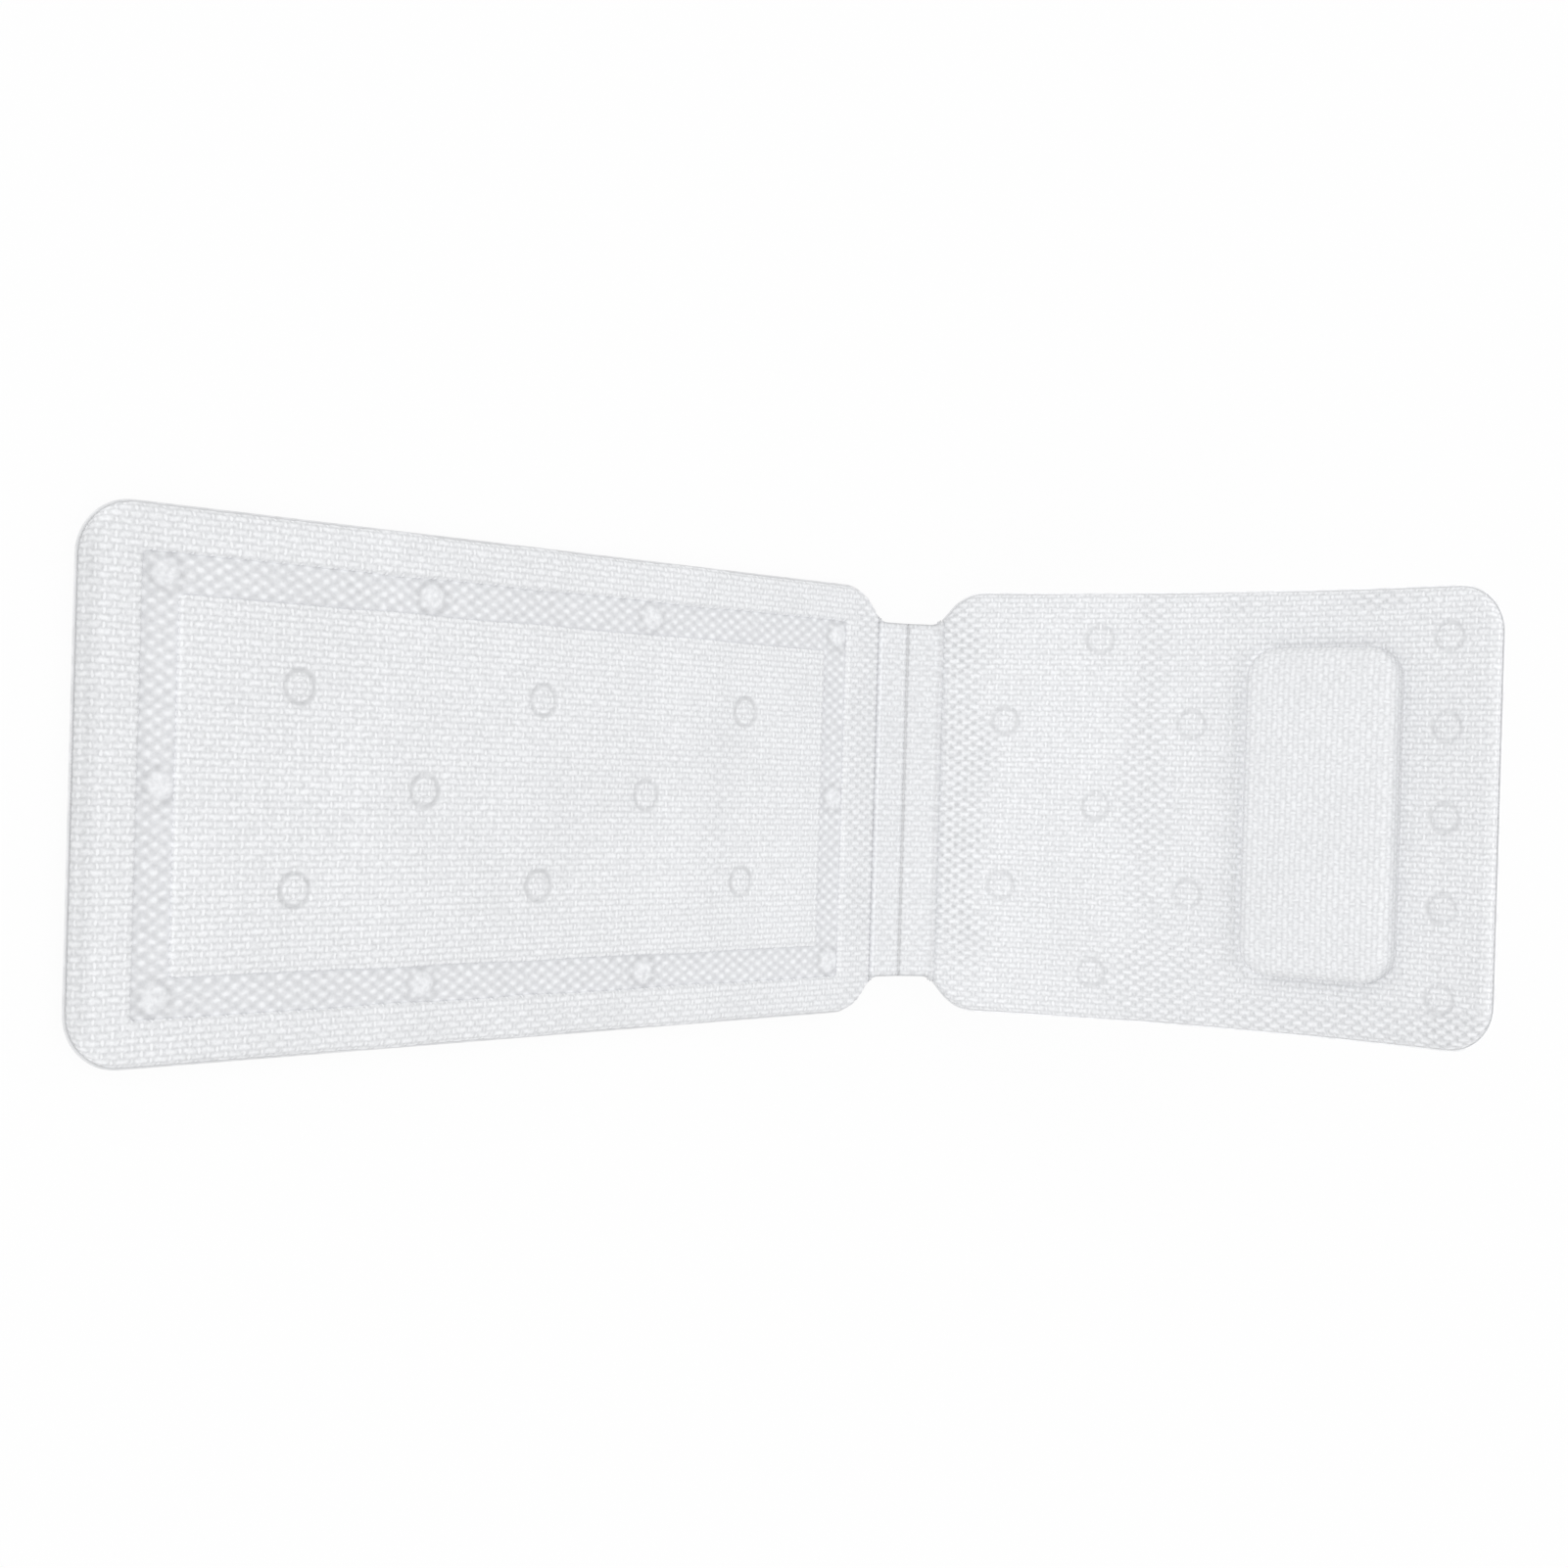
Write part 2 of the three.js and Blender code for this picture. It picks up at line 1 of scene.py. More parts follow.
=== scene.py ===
"""Full-body bath mat: woven foamed-sheet pads, a folding neck, a head pillow and suction cups.

Shapes are worked out in millimetres from each panel's own fold axis, then placed in the row frame.
On the seat x runs back from the fold to the foot end; on the back it runs from the fold to the head end.
"""
import json
import math

import bpy
import numpy as np
from mathutils import Matrix, Vector
from mathutils.geometry import delaunay_2d_cdt


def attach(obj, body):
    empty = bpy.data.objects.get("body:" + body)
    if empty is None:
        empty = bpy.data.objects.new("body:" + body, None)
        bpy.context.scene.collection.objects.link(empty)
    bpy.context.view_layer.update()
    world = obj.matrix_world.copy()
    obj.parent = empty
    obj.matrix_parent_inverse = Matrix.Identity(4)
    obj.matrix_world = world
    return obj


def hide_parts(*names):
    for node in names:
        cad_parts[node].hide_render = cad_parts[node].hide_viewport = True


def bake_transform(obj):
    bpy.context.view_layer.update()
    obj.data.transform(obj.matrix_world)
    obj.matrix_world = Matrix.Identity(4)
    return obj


MM = 0.001
QUARTER = math.pi / 2

# Panels, as in the solids
MAT_WIDTH = 360.0
SEAT_LENGTH = 716.0
BACK_LENGTH = 474.0
STRIP_LENGTH = 30.0
SEAT_FOLD, MIDDLE_FOLD, BACK_FOLD = 14.0, 20.0, 20.0
BACK_CURVE = 750.0
FOLD_CLEARANCE = 0.15
FLANGE = 2.0
CORNER = 38.0
SHOULDER = math.radians(50.0)
NECK_FLARE = 4.5
TOP = 6.25
UNDERSIDE = -2.75
SHEET = 1.2
COVER_FOOT = -1.25
EDGE_RUN = 5.5
THIN_ROUND = 0.3

# Channel pressed into the seat
CHANNEL_END = 55.0
CHANNEL_SIDE = 44.5
CHANNEL_WIDTH = 26.0
CHANNEL_DEPTH = 2.8
CHANNEL_CORNER = 3.0
CHANNEL_LAP = 1.0
CHANNEL_SKIN = 1.5
WALL_RUN = 1.8

# Weld rings and suction cups
RING_RADIUS = 11.2
RING_SPREAD = 1.6
RING_DEPTH = 1.0
RING_FAR = 6.0
RING_SNAP = (9.8, 11.2, 12.6)
RING_REACH = 0.6
EDGE_FADE = 3.0
DISC_RADIUS, DISC_SOFT, DISC_RISE, DISC_WEAVE = 8.5, 2.0, 0.6, 0.3
DISC_FINE_ALONG, DISC_FINE_ACROSS = 2.2, 1.5
DOT_FROM, DOT_TO, DOT_RISE = 0.22, 0.45, 0.4
HALO_RADIUS, HALO_SPREAD, HALO_DEPTH, HALO_SHADE = 11.5, 3.0, 0.4, 0.1
SEAT_COLUMNS = 7
SEAT_ROW = MAT_WIDTH / 4 - CHANNEL_SIDE / 2
SEAT_COLUMN = (SEAT_LENGTH - 2 * CHANNEL_END) / (SEAT_COLUMNS - 1)
CHANNEL_CUP_SHIFT = 4.0
BACK_FIRST, BACK_COLUMN, BACK_ROW, HEAD_INSET = 58.0, 80.0, 70.0, 42.5
CUP_HEIGHT = 9.0
CUP_GAP = 0.3
CUP_SIDES = 48

# Pillow
PILLOW_LENGTH, PILLOW_WIDTH, PILLOW_CENTRE = 128.0, 264.0, 332.0
PILLOW_HEIGHT, PILLOW_CORNER, PILLOW_EDGE, PILLOW_CROWN = 20.3, 26.0, 9.0, 3.0
PILLOW_LAP, PILLOW_SINK = 8.0, 1.0

# Painted shade low on the pillow's wall, in the crease, and on its head side, which begins and is full this
# far from the middle
CREASE_LOW, CREASE_HIGH, CREASE_SHADE = -14.0, -4.0, 0.08
HEAD_WALL_LOW, HEAD_WALL_HIGH, HEAD_WALL_SHADE = -8.0, 4.0, 0.05
HEAD_FROM, HEAD_TO = 30.0, 60.0

# Painted light on the back beside the pillow's foot side, and on its edge and rim, but not near the fold
PILLOW_GLOW, PILLOW_NEAR = 0.3, 10.0
GLOW_FROM, GLOW_TO = 40.0, 60.0
EDGE_GLOW, EDGE_NEAR, RIM_GLOW = 0.07, 1.5, 0.25
EDGE_FROM, EDGE_TO = 15.0, 45.0

# Neck bars and webs
NECK_THICKNESS, NECK_RUN = 5.5, 2.15
NECK_EDGE = math.radians(38.0)
# Painted shade at the strips' ends and along the middle fold, and painted light on the seat strip, most
# beside its fold
NECK_END_SHADE, NECK_END_REACH = 0.2, 4.5
MIDDLE_SHADE, MIDDLE_REACH = 0.16, 2.4
LIT_EDGE, LIT_REACH, LIT_ALL, SEAT_STRIP_LIT = 2.3, 2.0, 0.15, 0.2
WEB_REACH, WEB_INSET, WEB_LOW, WEB_HUMP = 3.5, 1.5, -0.5, 0.3
WEB_END_REACH, WEB_END_DROP = 5.0, 0.5
WEB_COLUMNS, WEB_ROWS = 13, 75
# Each web's height above the fold axis, and its painted shade, which darkens the fold's groove
SEAT_WEB, MIDDLE_WEB, BACK_WEB = (0.3, 0.7), (2.2, 0.78), (3.2, 0.92)

# Painted shade: a dark line where the seat's end turns down into its fold, and on the rounded edge of its
# foot end
TURN_PLACE, TURN_REACH, TURN_SHADE = -3.6, 2.4, 0.2
FOOT_PLACE, FOOT_REACH, FOOT_SHADE = FLANGE - SEAT_LENGTH, 14.0, 0.15

# Underside
RIM_WIDTH, RIM_INSET, RIM_STEP = 4.0, 1.0, 2.0
RIM_SIDES, RIM_SQUARE = 12, 0.6
RIM_TONE, RIM_WEAR, RIM_PATCH = 0.91, 0.12, 3
UNDER_RING, UNDER_RING_DEPTH, UNDER_RING_SHADE = 15.0, 0.5, 0.2

# Pits, where the cross bars lie deep and painted shade darkens the hollows: middle x and y, half length, half
# width, and strength from 0 to 1
SEAT_PITS = ((-20.0, 0.0, 26.0, 260.0, 0.8), (-185.0, 0.0, 26.0, 130.0, 0.4), (-335.0, 0.0, 18.0, 130.0, 0.3),
             (-330.0, -168.0, 330.0, 16.0, 0.4))
BACK_PITS = ((22.0, 0.0, 36.0, 320.0, 1.0), (179.0, 10.0, 32.0, 130.0, 0.8), (183.0, 120.0, 20.0, 80.0, 0.7),
             (205.0, -140.0, 76.0, 60.0, 0.8), (320.0, -165.0, 190.0, 24.0, 0.8),
             (445.0, -165.0, 60.0, 30.0, 1.0), (260.0, -62.0, 12.0, 76.0, 0.5),
             (258.0, 166.0, 16.0, 18.0, 0.8), (365.0, 168.0, 36.0, 14.0, 0.8))
PIT_FULL, PIT_END = 0.35, 1.1

# Swell of the padding between the welds, and how far beside them it is held
SEAT_SWELL, BACK_SWELL = 1.6, 1.8
HELD_EDGE, HELD_LAP, HELD_RING = 6.0, 1.0, 2.0
# Long waves along the panels: middle, half length, height
SEAT_WAVES = ((-481.0, 42.0, 0.9), (-363.0, 42.0, 0.9), (-211.0, 55.0, 0.9))
BACK_WAVES = ((130.0, 60.0, 1.0), (270.0, 60.0, 0.8))

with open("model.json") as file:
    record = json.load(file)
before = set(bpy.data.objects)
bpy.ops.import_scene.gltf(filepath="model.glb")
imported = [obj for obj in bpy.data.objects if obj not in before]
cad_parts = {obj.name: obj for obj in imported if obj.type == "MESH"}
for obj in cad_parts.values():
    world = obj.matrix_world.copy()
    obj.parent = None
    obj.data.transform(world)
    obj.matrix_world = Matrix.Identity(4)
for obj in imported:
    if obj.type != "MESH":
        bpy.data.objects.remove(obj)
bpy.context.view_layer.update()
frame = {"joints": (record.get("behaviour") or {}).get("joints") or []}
AXES = {joint["name"]: np.array(joint["pos_m"]) for joint in frame["joints"]}


# Weave: rows run along the mat, each a chain of long floats parted by narrow cross bars

class Cloth:
    """Half the pitch of the cross bars along a row, the rows' own pitch and the floats' height."""

    def __init__(self, half, row, height, crosswise=False):
        self.half, self.row, self.height, self.crosswise = half, row, height, crosswise

    def steps(self):
        """Grid steps along and across the mat that fall on the bars and on the seams between rows."""
        steps = (self.half / 4, self.row / 4)
        return steps[::-1] if self.crosswise else steps

    def threads(self, u, v):
        """Places counted in bars along a row, and in rows."""
        along, across = (v, u) if self.crosswise else (u, v)
        return along / (2 * self.half), across / self.row


SEAT_CLOTH = Cloth(6.6, 4.41, 0.9)
BACK_CLOTH = Cloth(6.3, 4.38, 0.9)
PILLOW_CLOTH = Cloth(6.3, 4.74, 0.6, crosswise=True)
NECK_CLOTH = Cloth(6.3, 4.45, 0.6)
UNDER_CLOTH = Cloth(9.2, 8.8, 0.2)


# Placing

def turned(points, degrees):
    """Points turned up about the mat's cross axis."""
    c, s = math.cos(math.radians(degrees)), math.sin(math.radians(degrees))
    x, y, z = points.T
    return np.stack([x * c - z * s, y, x * s + z * c], axis=1)


def on_seat(points):
    return points * MM + AXES["seat_fold"]


def on_seat_strip(points):
    return turned(points, SEAT_FOLD) * MM + AXES["seat_fold"]


def on_back_strip(points):
    return turned(points, SEAT_FOLD + MIDDLE_FOLD) * MM + AXES["middle_fold"]


def on_back(points):
    """Wraps the flat back to its curve, then stands it up on the last fold."""
    x, y, z = points.T
    angle = x / BACK_CURVE
    radius = BACK_CURVE - z
    bent = np.stack([radius * np.sin(angle), y, BACK_CURVE - radius * np.cos(angle)], axis=1)
    return turned(bent, SEAT_FOLD + MIDDLE_FOLD + BACK_FOLD) * MM + AXES["back_fold"]


# Outlines: each gives how far inside it a point lies, and the direction inwards

def rounded_rectangle(x0, x1, half, radius):
    middle, reach = (x0 + x1) / 2, (x1 - x0) / 2

    def field(x, y):
        sx, sy = np.sign(x - middle), np.where(y < 0, -1.0, 1.0)
        px, py = np.abs(x - middle) - reach + radius, np.abs(y) - half + radius
        outside = np.hypot(np.maximum(px, 0), np.maximum(py, 0))
        inside = radius - outside - np.minimum(np.maximum(px, py), 0)
        corner = (px > 0) & (py > 0)
        length = np.where(corner, np.maximum(np.hypot(px, py), 1e-9), 1.0)
        nx = np.where(corner, px / length, np.where(px > py, 1.0, 0.0))
        ny = np.where(corner, py / length, np.where(px > py, 0.0, 1.0))
        return inside, -nx * sx, -ny * sy

    return field


def within(x, y, start, end):
    """Whether places lie inside closed loops, given as the start and end points of their steps."""
    rise = np.where(start[:, 1] == end[:, 1], 1.0, end[:, 1] - start[:, 1])
    crosses = (start[:, 1] > y[:, None]) != (end[:, 1] > y[:, None])
    where = start[:, 0] + (y[:, None] - start[:, 1]) / rise * (end[:, 0] - start[:, 0])
    return (crosses & (x[:, None] < where)).sum(axis=1) % 2 == 1


def polygon(points):
    """An outline of straight steps, which runs anticlockwise."""
    start = np.asarray(points, float)
    ends = np.roll(start, -1, axis=0)
    step = ends - start
    square = (step ** 2).sum(axis=1)

    def block(x, y):
        p = np.stack([x, y], axis=1)[:, None, :]
        t = np.clip(((p - start) * step).sum(axis=2) / square, 0, 1)
        offset = p - (start + t[:, :, None] * step)
        distance = np.hypot(offset[:, :, 0], offset[:, :, 1])
        nearest = distance.argmin(axis=1)
        rows = np.arange(len(x))
        gap, away = distance[rows, nearest], offset[rows, nearest]
        sign = np.where(within(x, y, start, ends), 1.0, -1.0)
        along = step[nearest] / np.sqrt(square[nearest])[:, None]
        straight = np.stack([-along[:, 1], along[:, 0]], axis=1)
        safe = np.maximum(gap, 1e-9)[:, None]
        normal = np.where(gap[:, None] > 1e-6, away / safe * sign[:, None], straight)
        return gap * sign, normal[:, 0], normal[:, 1]

    def field(x, y):
        size = 20000
        parts = [block(x[i:i + size], y[i:i + size]) for i in range(0, len(x), size)]
        return tuple(np.concatenate(values) for values in zip(*parts))

    return field


def outside_of(field):
    def turned_out(x, y):
        inside, nx, ny = field(x, y)
        return -inside, -nx, -ny
    return turned_out


def arc(cx, cy, radius, start, end, steps=12):
    angles = np.linspace(start, end, steps + 1)
    return [(cx + radius * math.cos(a), cy + radius * math.sin(a)) for a in angles]


def panel_side(length, inset):
    """Half round a panel, from the fold to the far end: a slanting shoulder, a side and a round corner."""
    radius, middle = CORNER - inset, MAT_WIDTH / 2 - CORNER
    fold = FOLD_CLEARANCE + inset
    shoulder = arc(FOLD_CLEARANCE + CORNER, middle, radius, QUARTER + SHOULDER, QUARTER)
    drop = (shoulder[0][0] - fold) * math.tan(SHOULDER)
    return [(fold, shoulder[0][1] - drop)] + shoulder + arc(length - CORNER, middle, radius, QUARTER, 0)


def both_sides(side):
    """A closed anticlockwise path from its upper half, which runs towards +x."""
    return np.array([(x, -y) for x, y in side] + side[::-1])


def seat_points(inset):
    return both_sides(panel_side(SEAT_LENGTH, inset))[::-1] * (-1, 1)


def back_points(inset):
    return both_sides(panel_side(BACK_LENGTH, inset))


NECK_HALF = panel_side(SEAT_LENGTH, 0)[0][1] - NECK_FLARE


def strip_ends(wide_at):
    """The two ends of a neck strip, which widen at one of its folds to the panel that it meets there."""
    radius = NECK_FLARE / (1 - math.cos(SHOULDER))
    flare = arc(radius * math.sin(SHOULDER), NECK_HALF + radius, radius, -QUARTER - SHOULDER, -QUARTER)
    xs, halves = np.array(flare).T

    def field(x, y):
        half = np.interp(np.abs(x - wide_at), xs, halves)
        return half - np.abs(y), np.zeros(len(x)), -np.sign(y)

    return field


def fold_lines(low, high):
    def field(x, y):
        return np.minimum(x - low, high - x), np.where(x - low < high - x, 1.0, -1.0), np.zeros(len(x))
    return field


def channel_outline(grow):
    return rounded_rectangle(-SEAT_LENGTH + CHANNEL_END - grow, -CHANNEL_END + grow,
                             MAT_WIDTH / 2 - CHANNEL_SIDE + grow, CHANNEL_CORNER)


def pillow_outline(inset):
    half = PILLOW_LENGTH / 2 - inset
    side = PILLOW_WIDTH / 2 - inset
    return rounded_rectangle(PILLOW_CENTRE - half, PILLOW_CENTRE + half, side, PILLOW_CORNER - inset)


# Edge profiles: a path over the edge, from the loose end of the sheet to where the top begins

class Edge:
    """Columns: inset from the outline, height from the top, and how far the surface leans out in radians."""

    def __init__(self, rows):
        self.inset, self.height, self.lean = np.array(rows, float).T
        steps = np.hypot(np.diff(self.inset), np.diff(self.height))
        self.path = np.concatenate([[0.0], np.cumsum(steps)])
        self.extra = self.path[-1] - self.inset[-1]

    def at(self, t):
        return tuple(np.interp(t, self.path, column) for column in (self.inset, self.height, self.lean))


def rolled_edge(run, drop, wall=0.0, steps=10):
    """A quarter round over the edge, then a straight wall below it."""
    rows = [(0.0, -drop - wall, QUARTER)] if wall else []
    for i in range(steps + 1):
        a = QUARTER * (1 - i / steps)
        rows.append((run * (1 - math.sin(a)), -drop * (1 - math.cos(a)), a))
    return Edge(rows)


def slanted_edge(drop, slant, crest=0.1):
    """A straight slope back from the edge, to leave room for a fold, with its crest rounded off."""
    run, lean = drop * math.tan(slant), QUARTER - slant
    slope = [(0.0, -drop, lean), (run * (1 - crest), -drop * crest, lean)]
    return Edge(slope + [(run * (1 + 2 * crest), 0.0, 0.0)])


def thin_edge(height):
    """The edge of a thin sheet, barely rounded."""
    return rolled_edge(THIN_ROUND, THIN_ROUND, height - THIN_ROUND)


# Meshes: a part is its points in millimetres, its four-cornered faces and its marks, one value per point each

PLAIN_MARKS = {"press": 0.0, "shade": 1.0, "ring": RING_FAR}
OVER = 3.0
FOOT_STEP = 24.0


def make_mesh(name, points, quads, marks, material, triangles=()):
    """A piece from points in metres, faces and marks."""
    triangles = np.reshape(triangles, (-1, 3)).astype(np.int32)
    starts = np.concatenate([np.arange(len(quads)) * 4, quads.size + np.arange(len(triangles)) * 3])
    mesh = bpy.data.meshes.new(name)
    mesh.vertices.add(len(points))
    mesh.vertices.foreach_set("co", points.astype(np.float32).ravel())
    mesh.loops.add(quads.size + triangles.size)
    corners = np.concatenate([quads.ravel(), triangles.ravel()])
    mesh.loops.foreach_set("vertex_index", corners.astype(np.int32))
    mesh.polygons.add(len(starts))
    mesh.polygons.foreach_set("loop_start", starts.astype(np.int32))
    mesh.polygons.foreach_set("use_smooth", np.arange(len(starts)) < len(quads))
    mesh.update(calc_edges=True)
    mesh.validate()
    for key, values in marks.items():
        data = mesh.attributes.new(key, "FLOAT", "POINT").data
        data.foreach_set("value", values.astype(np.float32))
    mesh.materials.append(material)
    piece = bpy.data.objects.new(name, mesh)
    bpy.context.scene.collection.objects.link(piece)
    return piece


def all_marks(along, across, **given):
    """Places in the weave, and the other marks, which are plain unless they are given."""
    plain = {key: np.full(len(along), value) for key, value in PLAIN_MARKS.items()}
    return {"along": along, "across": across, **plain, **given}


def lattice(low, high, step):
    return np.arange(math.floor(low / step), math.ceil(high / step) + 1) * step


def grid(us, vs):
    u, v = (a.ravel() for a in np.meshgrid(us, vs, indexing="ij"))
    index = np.arange(len(u)).reshape(len(us), len(vs))
    corners = (index[:-1, :-1], index[1:, :-1], index[1:, 1:], index[:-1, 1:])
    return u, v, np.stack([c.ravel() for c in corners], axis=1)


def on_rings(u, v, places):
    """Moves the grid's points near each weld ring on to its circles, so that the groove is round."""
    for x, y in places:
        r = np.hypot(u - x, v - y)
        for circle in RING_SNAP:
            near = np.abs(r - circle) < RING_REACH
            u[near] = x + (u[near] - x) * circle / r[near]
            v[near] = y + (v[near] - y) * circle / r[near]
    return u, v


def sheet(cloth, spans, edges, relief, base=TOP, facing=1.0, rings=()):
    """A sheet over a grid: cut to its outlines, taken over their edges, then raised by its relief.

    spans are the lowest and highest x and the half width. edges are pairs of outline field and edge profile.
    relief gives the height, and the marks that aren't plain, for places on the flat sheet and in its weave.
    """
    low, high, half = spans
    over = max(edge.extra for _, edge in edges) + OVER
    u_step, v_step = cloth.steps()
    u, v, quads = grid(lattice(low - over, high + over, u_step), lattice(-half - over, half + over, v_step))
    along, across = cloth.threads(u, v)
    u, v = on_rings(u, v, rings)
    x, y = u.copy(), v.copy()
    z = np.zeros(len(u))
    lean, lean_x, lean_y = np.zeros(len(u)), np.zeros(len(u)), np.zeros(len(u))
    inside, fade = np.ones(len(u), bool), np.ones(len(u))
    for field, edge in edges:
        distance, nx, ny = field(u, v)
        t = distance + edge.extra
        inside &= t > 0
        fade = np.minimum(fade, smooth(0, EDGE_FADE, t))
        inset, height, angle = edge.at(np.maximum(t, 0))
        on_edge = t < edge.path[-1]
        move = np.where(on_edge, inset - distance, 0.0)
        x += nx * move
        y += ny * move
        z = np.minimum(z, np.where(on_edge, height, 0.0))
        lean = np.where(on_edge, angle, lean)
        lean_x, lean_y = np.where(on_edge, -nx, lean_x), np.where(on_edge, -ny, lean_y)
    quads = quads[inside[quads].any(axis=1)]
    rise, given = relief(u, v, along, across)
    rise = rise * fade
    out = np.sin(lean) * rise
    points = np.stack([x + lean_x * out, y + lean_y * out, base + facing * (z + np.cos(lean) * rise)], axis=1)
    marks = all_marks(along, across, **given)
    used, quads = np.unique(quads, return_inverse=True)
    quads = quads.reshape(-1, 4)
    if facing < 0:
        quads = quads[:, ::-1]
    return points[used], quads, {key: values[used] for key, values in marks.items()}


def welded(points, quads, marks):
    """Makes coincident points one. Faces that lose a corner become triangles."""
    _, first, place = np.unique(np.round(points, 4), axis=0, return_index=True, return_inverse=True)
    faces = place.ravel()[quads]
    same = faces == np.roll(faces, -1, axis=1)
    lost = same.sum(axis=1)
    triangles = faces[lost == 1][~same[lost == 1]].reshape(-1, 3)
    return points[first], faces[lost == 0], {key: values[first] for key, values in marks.items()}, triangles


def joined(parts):
    """Several parts as one, with the points that they share welded."""
    points = np.concatenate([part[0] for part in parts])
    starts = np.cumsum([0] + [len(part[0]) for part in parts[:-1]])
    quads = np.concatenate([part[1] + start for part, start in zip(parts, starts)])
    marks = {key: np.concatenate([part[2][key] for part in parts]) for key in parts[0][2]}
    return welded(points, quads, marks)


def open_edges(quads, triangles):
    """Edges that only one face uses."""
    edges = []
    for faces in (quads, triangles):
        count = faces.shape[1]
        edges += [faces[:, [k, (k + 1) % count]] for k in range(count)]
    edges = np.concatenate(edges)
    keys = edges.min(axis=1) * (quads.max() + 1) + edges.max(axis=1)
    _, first, count = np.unique(keys, return_index=True, return_counts=True)
    return edges[first[count == 1]]


def closed(part, edges, facing=1.0):
    """Closes a part's open foot with a coarse net of triangles, whose points follow a curved panel."""
    points, quads, marks, triangles = part
    rim_edges = open_edges(quads, triangles)
    rim = np.unique(rim_edges)
    low, high = points[rim].min(axis=0), points[rim].max(axis=0)
    u, v, _ = grid(np.arange(low[0], high[0], FOOT_STEP), np.arange(low[1], high[1], FOOT_STEP))
    inner = np.min([field(u, v)[0] for field, _ in edges], axis=0) > FOOT_STEP / 4
    extra = np.stack([u[inner], v[inner], np.full(inner.sum(), points[rim, 2].mean())], axis=1)
    flat = [Vector(p) for p in np.concatenate([points[rim], extra])[:, :2]]
    net = delaunay_2d_cdt(flat, np.searchsorted(rim, rim_edges).tolist(), [], 1, 1e-5)
    number = np.concatenate([rim, len(points) + np.arange(len(extra))])
    corners = [number[origin[0]] if origin else -1 for origin in net[3]]
    foot = np.array([[corners[k] for k in face] for face in net[2]])
    points = np.concatenate([points, extra])
    x, y, _ = points[foot].mean(axis=1).T
    foot = foot[within(x, y, points[rim_edges[:, 0]], points[rim_edges[:, 1]])]
    if facing > 0:
        foot = foot[:, ::-1]
    marks = {key: np.concatenate([values, np.ones(len(extra))]) for key, values in marks.items()}
    return points, quads, marks, np.concatenate([triangles, foot])


def pad(name, place, material, cloth, spans, edges, relief, **options):
    part = welded(*sheet(cloth, spans, edges, relief, **options))
    points, quads, marks, triangles = closed(part, edges)
    return make_mesh(name, place(points), quads, marks, material, triangles)


# Reliefs

def smooth(low, high, value):
    t = np.clip((value - low) / (high - low), 0, 1)
    return t * t * (3 - 2 * t)


def scatter(i, j, seed):
    """A steady value from 0 to 1 for each cell."""
    n = (i.astype(np.int64) * 73856093) ^ (j.astype(np.int64) * 19349663) ^ (seed * 83492791)
    n = (n ^ (n >> 13)) * 1274126177
    return ((n ^ (n >> 16)) & 0xFFFF) / 65535.0


BAR_HEIGHT, BAR_REACH, BAR_LOW, BAR_SINK = 0.85, 0.1, 0.4, 1.4
FLOAT_FROM, FLOAT_TO = 0.05, 0.24
SEAM = 0.05
UNEVEN = 0.3


def bar_gap(along, row):
    """Along a row, distance to the nearest cross bar, in pitches, and that bar's number."""
    place = along - np.where(row % 2 == 0, 0.0, 0.5)
    bar = np.floor(place + 0.5)
    return np.abs(place - bar), bar


def rows_over(across):
    """Each place's row, and the row's round back from 0 to 1."""
    row = np.floor(across + 1e-6)
    return row, np.sin(np.pi * np.clip(across - row, 0, 1))


def weave(along, across, press=0.0):
    """Height from 0 to 1 of the woven face. Press lets the cross bars sink."""
    row, over = rows_over(across)
    gap, bar = bar_gap(along, row)
    gap = np.where(over < SEAM, np.minimum(gap, bar_gap(along, row - 1)[0]), gap)
    bar_part = np.clip(1 - gap / BAR_REACH, 0, 1) * (BAR_LOW + (1 - BAR_LOW) * over)
    bar_part = bar_part * (1 - UNEVEN * scatter(bar, row, 2))
    float_part = smooth(FLOAT_FROM, FLOAT_TO, gap) * np.sqrt(over)
    float_part = float_part * (1 - UNEVEN * scatter(np.floor(along * 2), row, 1))
    return float_part + BAR_HEIGHT * bar_part * (1 - BAR_SINK * press)


def seat_cup_places():
    """Even columns stand on the channel's sides and the centre line, odd columns between them."""
    places = []
    for column in range(SEAT_COLUMNS):
        x = -SEAT_LENGTH + CHANNEL_END + column * SEAT_COLUMN
        on_end = column in (0, SEAT_COLUMNS - 1)
        for row in ((-2, 0, 2) if column % 2 == 0 else (-1, 1)):
            in_channel = on_end or abs(row) == 2
            places.append((x + CHANNEL_CUP_SHIFT * in_channel, row * SEAT_ROW, in_channel))
    return places


def back_cup_places():
    columns = ((BACK_FIRST, (-1, 1)), (BACK_FIRST + BACK_COLUMN, (-2, 0, 2)),
               (BACK_FIRST + 2 * BACK_COLUMN, (-1, 1)), (BACK_LENGTH - HEAD_INSET, (-2, -1, 0, 1, 2)))
    return [(x, row * BACK_ROW) for x, rows in columns for row in rows]


def nearest(u, v, places):
    """Distance to the nearest of these places."""
    return np.min([np.hypot(u - x, v - y) for x, y in places], axis=0)


def ring_gap(u, v, places, radius):
    """Distance outwards from a circle about the nearest place, or RING_FAR where the circle is far off."""
    gap = nearest(u, v, places) - radius
    return np.where(np.abs(gap) < RING_FAR, gap, RING_FAR)


def groove(gap, spread):
    return np.exp(-(gap / spread) ** 2)


def pit_share(u, v, patches):
    """From 0 to 1, how deep the cross bars lie, with an uneven border to each patch."""
    share = np.zeros(len(u))
    wander = 0.12 * np.sin(u / 17 + 1.3 * np.sin(v / 29)) + 0.10 * np.sin(v / 13 + u / 41)
    for x, y, length, width, strength in patches:
        far = np.hypot((u - x) / length, (v - y) / width) + wander
        share = np.maximum(share, strength * (1 - smooth(PIT_FULL, PIT_END, far)))
    return share


